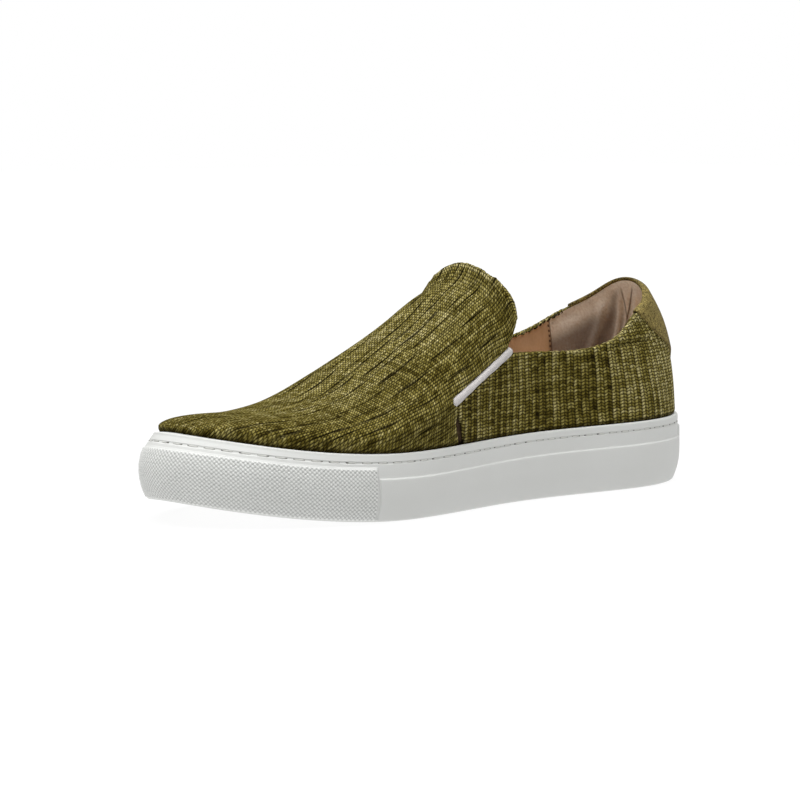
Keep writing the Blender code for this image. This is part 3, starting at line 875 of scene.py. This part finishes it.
# Rows up the edge: the seam, the end of the slit, the slit and the throat. The knit stands back from the line
# by about the radius of its turned edge, and by more at the foot of the seam, where the two sides part.
SEAM_ROWS, END_ROWS, SLIT_ROWS, ARCH_ROWS = 26, 7, 79, 185
SEAM_GAP = 2.0
SEAM_CLOSES, SEAM_CLOSING = 0.5, 0.25
SLIT_BACK = 1.1
THROAT_EASE = 1.85
THROAT_EASE_AT, THROAT_EASE_REACH = 0.62, 0.13
RIDGE_REACH = 0.7
RIDGE_FROM, RIDGE_RUN = 0.78, 0.2
slit_end = run_of(np.array([slit_rear[0], slit_front[0]]), END_ROWS + 2)[1:-1]
vamp_side = np.concatenate([run_of(seam, SEAM_ROWS), slit_end, run_of(slit_front, SLIT_ROWS + 1)])
arch_t = np.linspace(0, 1, ARCH_ROWS + 1)[1:]
throat_x = slit_front[1, 0] - THROAT_BACK * (1 - (1 - arch_t) ** THROAT_POWER)
throat_x = throat_x - THROAT_FLARE * np.sin(np.pi * arch_t) * (1 - arch_t)
throat_x = throat_x + THROAT_EASE * bell((arch_t - THROAT_EASE_AT) / THROAT_EASE_REACH)
throat_x = throat_x - RIDGE_REACH * smooth((arch_t - RIDGE_FROM) / RIDGE_RUN)


def seam_back(seam_rows, rows):
    """How far the knit stands back from the seam and the slit, row by row from the sole up."""
    closed = smooth((np.arange(rows) / seam_rows - SEAM_CLOSES) / SEAM_CLOSING)
    return SLIT_BACK + SEAM_GAP * (1 - closed)


edge_back = seam_back(SEAM_ROWS, len(vamp_side) + ARCH_ROWS)
edge_s = turn_at(np.concatenate([vamp_side[:, 0], throat_x]) + edge_back)[:, None]
side_rise = vamp_side[:, 1] - base_z(turn_at(vamp_side[:, 0]))
edge_row = np.concatenate([side_rise / guide_rise(vamp_side[:, 0]), 1 + arch_t])[:, None]
# Rows below the first one, down into the cup: height above the rim.
SKIRT = (1.5, 1.2, 0.9, 0.6, 0.3, 0.0, -1.0, -4.0)
sweep_s = np.linspace(edge_s.min() - 0.01, 1, 240)[:, None]
sweep_row = np.linspace(0, 2, 121)[None, :]


def vamp_cloth(s, row, inner):
    """The cloth's own coordinates: length along the ridge from the toe, and girth from the ridge."""
    turn = 2 - sweep_s if inner else sweep_s
    web_points = vamp_row(turn + 0 * sweep_row, sweep_row + 0 * sweep_s)
    girth = np.linalg.norm(np.diff(web_points, axis=1), axis=-1)
    girth = np.concatenate([np.cumsum(girth[:, ::-1], 1)[:, ::-1], 0 * sweep_s], 1)
    ridge = np.linalg.norm(np.diff(web_points[:, -1], axis=0), axis=-1)
    ridge = np.concatenate([np.cumsum(ridge[::-1])[::-1], [0]])
    at_s = np.interp(s, sweep_s[:, 0], np.arange(len(sweep_s)))
    at_row = row / 2 * (sweep_row.size - 1)
    i = np.minimum(at_s.astype(int), len(sweep_s) - 2)
    j = np.minimum(at_row.astype(int), sweep_row.size - 2)
    a = at_s - i
    b = at_row - j
    low = girth[i, j] * (1 - b) + girth[i, j + 1] * b
    high = girth[i + 1, j] * (1 - b) + girth[i + 1, j + 1] * b
    across = low * (1 - a) + high * a
    return np.stack([np.interp(s, sweep_s[:, 0], ridge), -across if inner else across], -1)


def with_foot(points, cloth, turn, down_cloth, sink):
    """The points and the cloth with the foot's rows put first, and the height of each point above the rim.

    The cloth runs on into the foot, by its length in millimetres, in the direction down_cloth.
    """
    rim = rim_z(station(turn[0]))
    foot = np.stack([wall(turn[0], rim + drop, sink) for drop in SKIRT[::-1]])
    down = np.linalg.norm(foot - points[:1], axis=-1, keepdims=True)
    points = np.concatenate([foot, points])
    cloth = np.concatenate([cloth[:1] + down * np.array(down_cloth), cloth])
    return points, cloth, points[..., 2] - rim


def vamp_half(inner, cols, sink=0.0):
    """One side of the vamp from inside the cup up to the ridge: points, and four numbers at each of them.

    The numbers are the cloth's own two, the height above the rim and the distance from the turned edge.
    """
    s = edge_s + (1 - edge_s) * np.linspace(0, 1, cols)
    row = edge_row + 0 * s
    turn = 2 - s if inner else s
    points = vamp_row(turn, row, sink)
    cloth = vamp_cloth(s, row, inner)
    points, cloth, over_rim = with_foot(points, cloth, turn, (0, -1 if inner else 1), sink)
    step = np.linalg.norm(np.diff(points, axis=1), axis=-1)
    from_edge = np.concatenate([0 * step[:, :1], np.cumsum(step, 1)], 1)
    return points, np.concatenate([cloth, over_rim[..., None], from_edge[..., None]], -1)


def vamp_shell(cols, sink=0.0):
    """Both halves of the vamp in one grid, up the outer side and down the inner."""
    outer, outer_cloth = vamp_half(False, cols, sink)
    inner, inner_cloth = vamp_half(True, cols, sink)
    return np.concatenate([outer, inner[-2::-1]]), np.concatenate([outer_cloth, inner_cloth[-2::-1]])


def face_normals(grid):
    """Unit normals of a grid of points, towards the side that its quads face."""
    up = np.gradient(grid, axis=0)
    side = np.gradient(grid, axis=1)
    normal = np.cross(up, side)
    return normal / np.maximum(np.linalg.norm(normal, axis=-1, keepdims=True), 1e-9)


def rolled(grid, cloth, radius, turns):
    """Adds columns before a grid's first one, which turn its edge in round a circle of that radius."""
    normal = face_normals(grid)[:, 0]
    reach = grid[:, 0] - grid[:, 2]
    length = np.maximum(np.linalg.norm(reach, axis=-1, keepdims=True), 1e-9)
    out = reach / length
    cloth_out = (cloth[:, 0] - cloth[:, 2]) / length
    radius = np.broadcast_to(radius, len(grid))[:, None]
    columns_in = [grid[:, 0] + radius * (out * math.sin(t) - normal * (1 - math.cos(t))) for t in turns]
    cloth_in = [cloth[:, 0] + cloth_out * radius * t for t in turns]
    edge = np.stack(columns_in[::-1], 1)
    return np.concatenate([edge, grid], 1), np.concatenate([np.stack(cloth_in[::-1], 1), cloth], 1)


def relieved(grid, cloth, wale, parted, rib_rise, slot_depth):
    """The grid with its ribs raised and, where they part, its slots sunk."""
    from_rib, _ = ribs(cloth[..., 0], cloth[..., 1], wale)
    height = rib_rise * (0.5 - 4 * from_rib**2) - KNIT_SINK
    if parted:
        wide, off = parting(cloth[..., 0], cloth[..., 1], parted)
        slot = smooth((wide + 0.5) / 1.1) * bell(off / 0.7) * smooth(cloth[..., 3] / 4)
        height = height - slot_depth * slot
    return grid + face_normals(grid) * (height * smooth(cloth[..., 2] / 2))[..., None]


ROLL = KNIT / 2
ROLL_TURNS = np.radians((12, 25, 40, 55, 72, 90, 110, 130, 155, 180))
SCALLOP_PITCH = 2.4
SCALLOP_RISE = 0.34
vamp, vamp_map = vamp_shell(140)
vamp = relieved(vamp, vamp_map, VAMP_WALE, VAMP_PARTED, 0.0, SLOT_DEPTH)
side_rows = len(SKIRT) + len(vamp_side)
edge_run = np.concatenate([[0], np.cumsum(np.linalg.norm(np.diff(vamp[:, 0], axis=0), axis=1))])
from_foot = np.minimum(np.arange(len(vamp)), np.arange(len(vamp))[::-1])
on_throat = smooth((from_foot - side_rows) / 4)
scallop = np.abs(np.sin(np.pi * (edge_run + 0.5 * np.sin(edge_run * 0.9)) / SCALLOP_PITCH))
vamp_roll = ROLL + on_throat * SCALLOP_RISE * (scallop - 0.5)
vamp, vamp_map = rolled(vamp, vamp_map, vamp_roll, ROLL_TURNS[:9])
maps = {"fabric": vamp_map[..., :2], "edges": vamp_map[..., 2:]}
piece("vamp_knit", vamp, vamp_knit, "upper_knit", ["upper"], **maps)

# Quarters. The same rib knit round the heel, with its ribs upright, turned in at the collar and at the gores.
# The front edges meet the vamp in a seam below each gore.
QUARTER_WALE = 4.2
RIB_RISE = 0.2
QUARTER_SEAM_ROWS, QUARTER_SLIT_ROWS = 20, 50
KNIT_LINE = 3.0
BEAD_PITCH = 2.2
BEAD_RISE = 0.4
COLLAR_FULL = 0.25
# Under the heel tab the roll is thinner. The tab ends this far round the heel, on the inner and outer side.
UNDER_TAB_LESS = 0.4
TAB_ENDS = (37.0, 43.0)
TAB_FADE = 6.0
quarter_knit = knit(
    "quarter_knit",
    wale=QUARTER_WALE,
    course=1.3,
    rib_gap=0.75,
    course_gap=0.9,
    slant=0.9,
    paired=True,
    parted=0.0,
    striped=0.8,
    glow=(0.18, (25.0, 95.0), (-20.0, -10.0)),
    tones=((26, 19, 1), (90, 79, 27), (134, 121, 54), (176, 163, 94), (212, 199, 138)),
)
quarter_side = [run_of(seam, QUARTER_SEAM_ROWS), run_of(slit_rear, QUARTER_SLIT_ROWS)[1:]]
quarter_side = np.concatenate(quarter_side)
rear_back = seam_back(QUARTER_SEAM_ROWS - 1, len(quarter_side))
rear_s = turn_at(quarter_side[:, 0] - rear_back)[:, None]
rear_collar = collar_z(quarter_side[:, 0])
rear_low = base_z(turn_at(quarter_side[:, 0]))
rear_share = ((quarter_side[:, 1] - rear_low) / (rear_collar - rear_low))[:, None]
rear_share = rear_share / rear_share[-1]
lane_s = np.linspace(-1, 1, 4001)
lane_arc = arc_along(lane_s, KNIT_LINE)
lane_arc = lane_arc - np.interp(0, lane_s, lane_arc)


def quarter_shell(cols, rise_less, sink=0.0):
    """Points, and the same four numbers as on the vamp, from the inner front edge round to the outer one."""
    s = rear_s * np.linspace(-1, 1, cols)
    turn = s % 2
    low = base_z(turn)
    collar = collar_at(turn) - rise_less
    height = low + (collar - low) * rear_share
    points = side_face(turn, height, sink)
    cloth = np.stack([height - low, np.interp(s, lane_s, lane_arc)], -1)
    points, cloth, over_rim = with_foot(points, cloth, turn, (-1, 0), sink)
    from_inner = np.linalg.norm(points - points[:, :1], axis=-1)
    from_outer = np.linalg.norm(points - points[:, -1:], axis=-1)
    collar = np.concatenate([np.repeat(collar[:1], len(SKIRT), 0), collar])
    from_edge = np.minimum(np.minimum(from_inner, from_outer), collar - points[..., 2])
    return points, np.concatenate([cloth, over_rim[..., None], from_edge[..., None]], -1)


quarter, quarter_map = quarter_shell(980, ROLL)
quarter = relieved(quarter, quarter_map, QUARTER_WALE, 0.0, RIB_RISE, 0.0)
collar_run = quarter_map[-1, :, 1]
bead = np.abs(np.sin(np.pi * (collar_run + 0.6 * np.sin(collar_run * 0.7)) / BEAD_PITCH))
tab_end = np.where(collar_run < 0, *TAB_ENDS)
past_tab = smooth((np.abs(collar_run) - tab_end) / TAB_FADE)

# The hem: beside the heel tab the collar's turned edge ends below in a trough, nearly level.
# It runs from and to these places round the heel, on a line of places and heights.
HEM_FROM, HEM_TO = 40.0, 82.0
HEM_LINE = ((44.0, 60.9), (63.0, 60.2), (75.0, 58.5))
HEM_COMES, HEM_GOES = 5.0, 16.0
HEM_DEPTH, HEM_WIDE = 1.0, 0.7
HEM_PUFF, PUFF_ABOVE, PUFF_WIDE = 0.4, 2.4, 1.8
beside_tab = np.abs(quarter_map[..., 1])
hem_z = np.interp(beside_tab, *np.transpose(HEM_LINE))
below = hem_z - quarter[..., 2]
in_hem = smooth((beside_tab - HEM_FROM) / HEM_COMES) * smooth((HEM_TO - beside_tab) / HEM_GOES)
in_hem = in_hem * smooth(quarter_map[..., 3] / 2.5)
hem = HEM_PUFF * bell((below + PUFF_ABOVE) / PUFF_WIDE) - HEM_DEPTH * bell(below / HEM_WIDE)
# In the trough the height above the rim is lowered, so the knit's material darkens it there: painted shade.
quarter_map[..., 2] *= 1 - in_hem * bell(below / 0.6)
quarter = quarter + face_normals(quarter) * (hem * in_hem)[..., None]


def transposed(grid):
    """The grid with its rows as columns."""
    return np.swapaxes(grid, 0, 1)


# The collar's roll is made on the grid turned on its side, with the top row first.
turned, turned_map = transposed(quarter[::-1]), transposed(quarter_map[::-1])
collar_roll = ROLL - UNDER_TAB_LESS + (COLLAR_FULL + BEAD_RISE * bead) * past_tab
turned, turned_map = rolled(turned, turned_map, collar_roll, ROLL_TURNS)
# The outer part of the roll stays as pale as the cloth, and its inner part gets painted shade.
roll_edge = turned_map[:, : len(ROLL_TURNS), 3]
turned_map[:, : len(ROLL_TURNS), 3] = roll_edge * (0.6 + 0.5 * smooth((-roll_edge - 1.6) / 1.4))
quarter, quarter_map = transposed(turned)[::-1], transposed(turned_map)[::-1]
quarter, quarter_map = rolled(quarter, quarter_map, ROLL, ROLL_TURNS[:8])
turned, turned_map = rolled(quarter[::-1, ::-1], quarter_map[::-1, ::-1], ROLL, ROLL_TURNS[:8])
quarter, quarter_map = turned[::-1, ::-1], turned_map[::-1, ::-1]
maps = {"fabric": quarter_map[..., :2], "edges": quarter_map[..., 2:]}
piece("quarter_knit", quarter, quarter_knit, "upper_knit", ["upper"], **maps)

# Side seams. Below each gore the cut edges of vamp and quarter are sewn together and pressed open behind.
# The edges stand apart in front, so the allowance shows between them, coloured dark: painted shade in the
# open seam.
ALLOWANCE = 4.0
ALLOWANCE_SINK = 1.9
ALLOWANCE_LONG = 15.0
made, web, shader = blank("seam_allowance_painted_shade", Roughness=0.95, Specular_IOR_Level=0.04)
along, across = web.map("fabric")
strand = (0.4 * along).beside(2.5 * across).noise(1.0, 3.0)
# Dark browns: painted shade down between the parted edges.
strand.step(0.3, 0.8).between(srgb(40, 29, 20), srgb(96, 78, 60)).into(shader, "Base Color")
bump(strand, shader, 0.5)
strip_share = np.linspace(-0.25, 1.05, 40)[:, None]
strip_along = seam[0] + (seam[1] - seam[0]) * strip_share
strip_across = np.linspace(-ALLOWANCE, ALLOWANCE, 17)
strip_x = strip_along[:, :1] + strip_across
strip_z = strip_along[:, 1:] + 0 * strip_x
strip_map = np.stack(np.broadcast_arrays(strip_share * ALLOWANCE_LONG, strip_across), -1)
for name, inner in (("outer", False), ("inner", True)):
    turn = 2 - turn_at(strip_x) if inner else turn_at(strip_x)
    above = (strip_z > base_z(turn))[..., None]
    strip = np.where(above, side_face(turn, strip_z, ALLOWANCE_SINK), wall(turn, strip_z, ALLOWANCE_SINK))
    piece("seam_" + name, strip, made, "upper_knit", ["upper"], inward=not inner, fabric=strip_map)

# Lining. Smooth tan leather under the instep and along the sides, and soft beige suede round the heel.
# A row of holes and stitches joins them, and the suede is pulled into folds behind the heel, with painted
# shade in its hollows and creases and below the padded collar.
LINING_FRONT = 157.0
LINING_SEAM = 36.0
# It comes up under the heel tab's fold, and drops to the knit's roll between these places: outer, inner.
LINING_LIFT = 0.9
LINING_RAISED = ((20.0, 29.0), (14.0, 22.0))
LINING_GAP = 0.15
PUFF_DEPTH = 1.6
PUFF_FROM, PUFF_FADE = 28.0, 26.0
HOLE_PITCH = 2.2
HOLES_OFF = 0.8
# Folds of the suede: place round the heel, how it leans, width, height.
SUEDE_FOLDS = (
    (-40.0, 0.5, 5.0, 0.5),
    (-21.0, 0.8, 3.2, 1.0),
    (-9.6, 0.6, 1.6, 0.9),
    (-4.6, 0.6, 1.4, 0.9),
    (2.2, 0.8, 2.4, 1.1),
    (11.0, 0.4, 3.0, 0.8),
    (24.0, 0.2, 3.2, 1.0),
)
# Creases between them, painted as shade: place, lean, half width, darkness.
SUEDE_CREASES = (
    (-13.4, 0.87, 4.5, 0.5),
    (-7.0, 0.22, 0.9, 0.6),
    (-2.1, 0.83, 0.9, 0.75),
)
FOLD_LEVEL = 8.0
lining_front = turn_at(LINING_FRONT)
lining_s = np.linspace(-lining_front, lining_front, 561)[None, :]
lining_turn = lining_s % 2
lining_x = station(lining_turn)
slit_x, slit_z = slit_rear.T
slit_line = slit_z[0] + (slit_z[1] - slit_z[0]) * (lining_x - slit_x[0]) / (slit_x[1] - slit_x[0])
raised = np.where(lining_s[..., None] > 0, *np.array(LINING_RAISED))
near_heel = 1 - smooth((lining_x - raised[..., 0]) / (raised[..., 1] - raised[..., 0]))
lining_top = collar_at(lining_turn) - ROLL + LINING_LIFT * near_heel
lining_top = np.minimum(lining_top, np.where(lining_x > slit_x[1] - 2, slit_line - ROLL, np.inf))
lining_low = rim_z(lining_x) - CUP_DEPTH + GAP
lining_share = np.concatenate([np.linspace(0, 0.95, 56), (0.962, 0.974, 0.984, 0.992, 0.997, 1.0)])
lining_share = lining_share[:, None]
lining_z = lining_low + (lining_top - lining_low) * lining_share
lining_arc = np.interp(lining_s, lane_s, lane_arc)
fold = 0 * lining_z
for at, lean, wide, high in SUEDE_FOLDS:
    place = lining_arc - at + lean * (lining_top - lining_z - FOLD_LEVEL)
    fold = fold + high * bell(place / wide)
fold = fold * smooth((lining_share - 0.35) / 0.3)
puff = PUFF_DEPTH * np.sin(np.pi * lining_share)
puff = puff * (1 - smooth((np.abs(lining_arc) - PUFF_FROM) / PUFF_FADE))
to_rim = 1 - np.sqrt(1 - np.clip((lining_share - 0.955) / 0.045, 0, 1) ** 2)
filled = (puff + fold) * (1 - smooth((lining_share - 0.87) / 0.09))
lining_sink = KNIT + LINING_GAP + filled - to_rim * near_heel
lining = side_face(lining_turn + 0 * lining_z, lining_z, lining_sink)
lining_map = np.stack([lining_z - lining_low, lining_arc + 0 * lining_z], -1)
lining_depth = np.stack([lining_top - lining_z, 0 * lining_z], -1)
lining_hide, web, shader = blank("lining_hide", Specular_IOR_Level=0.25)
height, round_heel = web.map("fabric")
from_heel = abs(round_heel)
cloth = web.node("UVMap", {"uv_map": "fabric"}, {})
seam_arc = float(np.interp(turn_at(LINING_SEAM), lane_s, lane_arc))
suede = 1 - from_heel.step(seam_arc - 0.4, seam_arc + 0.4)
nap = cloth.noise(0.9, 5.0)
mottle = cloth.noise(0.13, 3.0).step(0.25, 0.75)
hide = (0.6 * mottle + 0.4 * nap).between(srgb(196, 162, 127), srgb(224, 192, 156))
pile = (0.45 * mottle + 0.55 * nap.step(0.25, 0.75)).between(srgb(218, 202, 182), srgb(255, 248, 234))
hole_row = height / HOLE_PITCH
hole_at = abs(hole_row - np.floor(hole_row) - 0.5)
beside = abs(from_heel - seam_arc - HOLES_OFF)
hole = (1 - beside.step(0.35, 0.6)) * (1 - hole_at.step(0.2, 0.32))
crack = 1 - abs(from_heel - seam_arc).step(0.1, 0.45)
marks = hole.math("MAXIMUM", 0.8 * hole, 0.6 * crack)
folded, padded = web.map("folds")
# Painted shade in the hollows between the folds, where the suede is padded.
hollow = padded.step(0.5, 1.5) * (1 - folded.step(0.05, 0.7))
pile_with_fold_shade = (0.55 * hollow).between(pile, srgb(96, 70, 54))
below_top, _ = web.map("depth")
shadow = srgb(70, 48, 35)
# Painted shade below the padded collar, deepening downwards, in the suede away from the middle of the heel.
shade_below_collar = below_top.step(4.0, 12.0) * from_heel.step(4.0, 30.0)
shade_below_collar = shade_below_collar * (1 - from_heel.step(seam_arc, seam_arc + 2.5))
soft = (0.72 * shade_below_collar).between(suede.between(hide, pile_with_fold_shade), shadow)
# Each crease is painted shade, darkening the suede towards the shadow colour.
long_enough = below_top.step(2.5, 6.5) * (1 - below_top.step(13.0, 22.0))
for at, lean, wide, dark in SUEDE_CREASES:
    beside = abs(round_heel - at + lean * (below_top - FOLD_LEVEL))
    soft = (dark * long_enough * (1 - beside.step(0.1 * wide, wide))).between(soft, shadow)
marks.between(soft, srgb(58, 38, 26)).into(shader, "Base Color")
(0.48 + 0.42 * suede + 0.08 * nap).into(shader, "Roughness")
bump(nap * (0.35 + 0.65 * suede) - marks, shader, 0.35)
maps = {"fabric": lining_map, "folds": np.stack([fold, puff], -1), "depth": lining_depth}
piece("quarter_lining", lining, lining_hide, "insole_leather", ["upper"], inward=True, **maps)

vamp_inside = vamp_shell(90, KNIT + 0.1)[0][::2]
piece("vamp_lining", vamp_inside, tan_leather, "insole_leather", ["upper"], inward=True)

# Gores. A strip of off-white elastic in the slit on each side of the throat, woven in fine cross ribs.
# It bulges a little between the knit edges, is drawn in at the middle and has rounded ends.
GORE_SINK = 0.3
GORE_CROWN = 0.8
GORE_END_SINK = 0.8
GORE_FILL = 0.25
GORE_ENDS = (-0.045, 1.035)
GORE_WAIST = 0.2
WAIST_AT, WAIST_REACH = 0.45, 0.25
GORE_RIPPLE = 0.04
PICK_PITCH = 0.66
gore_elastic, web, shader = blank("gore_elastic", Specular_IOR_Level=0.2)
along_gore, across_gore = web.map("fabric")
pick = (along_gore + 0.25 * across_gore) / PICK_PITCH
from_pick = pick - np.floor(pick) - 0.5
rib = (1 - 4 * from_pick * from_pick) ** 0.7
lint = web.node("UVMap", {"uv_map": "fabric"}, {}).noise(1.6, 3.0)
(0.65 * rib + 0.35 * lint).between(srgb(158, 152, 150), srgb(228, 224, 222)).into(shader, "Base Color")
(0.7 + 0.2 * lint).into(shader, "Roughness")
bump(rib + 0.3 * lint, shader, 0.18)
gore_span = float(np.linalg.norm(np.subtract(GORE_HIGH, GORE_LOW)))
gore_t = np.linspace(*GORE_ENDS, 121)[:, None]
gore_w = np.array([-1, -1, -0.97, -0.85, -0.6, -0.3, 0, 0.3, 0.6, 0.85, 0.97, 1, 1])
gore_drop = np.array([1.9, 0.9, 0.35, 0.12, 0, 0, 0, 0, 0, 0.12, 0.35, 0.9, 1.9])
from_end = np.minimum(GORE_ENDS[1] - gore_t, gore_t - GORE_ENDS[0]) * gore_span
end_share = np.clip(from_end / (GORE_WIDTH / 2), 0, 1)
gore_half = (GORE_WIDTH / 2 + GORE_FILL) * np.sqrt(1 - (1 - end_share) ** 2) * 0.98 + 0.02
waist = GORE_WAIST * bell((gore_t - WAIST_AT) / WAIST_REACH)
gore_half = gore_half * (1 - waist + GORE_RIPPLE * np.sin(29 * gore_t))
gore_x = GORE_LOW[0] + (GORE_HIGH[0] - GORE_LOW[0]) * gore_t + gore_across[0] * gore_half * gore_w
gore_z = GORE_LOW[1] + (GORE_HIGH[1] - GORE_LOW[1]) * gore_t + gore_across[1] * gore_half * gore_w
gore_sink = GORE_SINK + gore_drop - GORE_CROWN * (1 - gore_w**2) + GORE_END_SINK * (1 - end_share) ** 2
gore_map = np.stack(np.broadcast_arrays(gore_t * gore_span, gore_w * gore_half), -1)
for name, inner in (("gore_outer", False), ("gore_inner", True)):
    turn = 2 - turn_at(gore_x) if inner else turn_at(gore_x)
    strip = side_face(turn, gore_z, gore_sink)
    piece(name + "_elastic", strip, gore_elastic, "gore_elastic", [name], inward=inner, fabric=gore_map)

# Heel tab. A patch of olive-brown grained leather, glued over the knit at the back of the heel.
# It is wide at the collar, folds over it to the inside, and runs down the back as a narrow strip.
# Shape: share of the way from the rim to the collar, half width as a share of half the outline.
TAB = (
    (0.00, 0.042),
    (0.25, 0.046),
    (0.50, 0.095),
    (0.70, 0.170),
    (0.85, 0.200),
    (1.00, 0.218),
)
TAB_PROUD = 1.0
TAB_LESS = 0.13
TAB_FOOT = 1.2
TAB_TUCK = 0.4
TAB_OVER = 0.3
TAB_INSIDE = 0.1
tab_leather = leather("tab_leather", srgb(162, 144, 82), srgb(48, 38, 10), 900.0, 0.75, 0.75)
tab_half = spline(*np.array(TAB).T)
tab_across = np.concatenate([[-1, -1, -0.99], np.linspace(-0.965, 0.965, 47), [0.99, 1, 1]])
tab_edge = np.array([1.5, 0.45, 0.1] + [0.0] * 47 + [0.1, 0.45, 1.5])
tab_rows = []
for share in np.concatenate([[0.015, 0.015, 0.02], np.linspace(0.03, 1, 60)]):
    s = tab_across * tab_half(share) * (1 - TAB_LESS * (tab_across < 0) * share**4)
    low = base_z(s % 2)
    height = low + (collar_at(s % 2) - ROLL - low) * share
    foot = 0.0 if tab_rows else TAB_FOOT
    tab_rows.append(wall(s, height, tab_edge + foot - TAB_PROUD))
over_s = tab_across * tab_half(1.0) * (1 - TAB_LESS * (tab_across < 0))
over_z = collar_at(over_s % 2) - ROLL
reach = ROLL + TAB_PROUD - np.minimum(tab_edge, TAB_PROUD)
tuck = TAB_TUCK * tab_edge / tab_edge.max()
for turn in np.radians(np.arange(12, 181, 12)):
    depth = ROLL - (reach if turn < np.pi / 2 else ROLL + TAB_INSIDE - tuck) * math.cos(turn)
    tab_rows.append(wall(over_s, over_z + (ROLL + TAB_OVER - tuck) * math.sin(turn), depth))
piece("heel_tab_leather", tab_rows, tab_leather, "tab_leather", ["heel_tab"])

# Studio. A plain pale floor, a broad overhead glow from the room and two large soft lamps.
# The floor gives off light of its own, so that it looks white and the shoe's shadow on it stays faint.
FLOOR_REACH = 6.0
FLOOR_DROP = 0.0002
ROOM_LIGHT = 0.03
OVERHEAD_LIGHT = 3.7
made, web, shader = blank(
    "studio_floor", Specular_IOR_Level=0.1, Roughness=0.9, Emission_Color=(1, 1, 1, 1), Emission_Strength=0.9
)
tint = web.spot().noise(2.0)
tint.between(srgb(88, 88, 88), srgb(92, 92, 92)).into(shader, "Base Color")
floor_mesh = bpy.data.meshes.new("studio_floor")
floor_corners = [(FLOOR_REACH * x, FLOOR_REACH * y, 0) for x, y in ((-1, -1), (1, -1), (1, 1), (-1, 1))]
floor_mesh.from_pydata(floor_corners, [], [(0, 1, 2, 3)])
floor_mesh.materials.append(made)
floor = placed("studio_floor", floor_mesh)
floor.location.z = -FLOOR_DROP

room = bpy.data.worlds.new("studio_room")
room.use_nodes = True
sky = Wire(room.node_tree)
up = sky.node("SeparateXYZ", {}, {0: sky.node("TexCoord", {}, {}, out="Generated")}, out=2)
glow = ROOM_LIGHT + OVERHEAD_LIGHT * up.step(0.65, 0.97)
seen = sky.node("LightPath", {}, {}, out="Is Camera Ray")
backdrop = room.node_tree.nodes["Background"]
backdrop.inputs["Color"].default_value = (1, 1, 1, 1)
(glow * (1 - seen) + seen).into(backdrop, "Strength")
bpy.context.scene.world = room

# Lamps: name, place in metres, width, watts. They point at the middle of the shoe.
LAMPS = (
    ("soft_lamp", (0.15, 0.40, 1.45), 1.1, 2.0),
    ("front_lamp", (0.95, 0.05, 0.85), 0.7, 3.0),
)
LIT_MIDDLE = Vector((0, 0, 0.04))


def look_along(thing, direction):
    """Turns a lamp or camera to face in a direction."""
    thing.rotation_mode = "QUATERNION"
    thing.rotation_quaternion = direction.to_track_quat("-Z", "Y")


for name, place, width, watts in LAMPS:
    lamp_data = bpy.data.lights.new(name, "AREA")
    lamp_data.shape = "DISK"
    lamp_data.size = width
    lamp_data.energy = watts
    lamp = placed(name, lamp_data)
    lamp.location = place
    look_along(lamp, LIT_MIDDLE - lamp.location)

# Camera. Low on the outer side, ahead of the shoe, as in the photo.
# A long lens 1.27 m away, shifted a little so that the shoe sits in the frame as it does there.
VIEW_TURN = math.radians(41.28)
VIEW_RISE = math.radians(4.98)
VIEW_AWAY = 1.266
VIEW_LENS = 141.4
VIEW_SHIFT = (-0.0320, -0.0168)
AIM_HEIGHT = 0.045
aim = Vector((0, -AXIS_SHIFT * MM, AIM_HEIGHT))
level = math.cos(VIEW_RISE)
back = Vector((math.sin(VIEW_TURN) * level, math.cos(VIEW_TURN) * level, math.sin(VIEW_RISE)))
lens = bpy.data.cameras.new("view")
lens.lens = VIEW_LENS
lens.shift_x, lens.shift_y = VIEW_SHIFT
camera = placed("view", lens)
camera.location = aim + back * VIEW_AWAY
look_along(camera, -back)
bpy.context.scene.camera = camera
bpy.context.scene.view_settings.view_transform = "Standard"
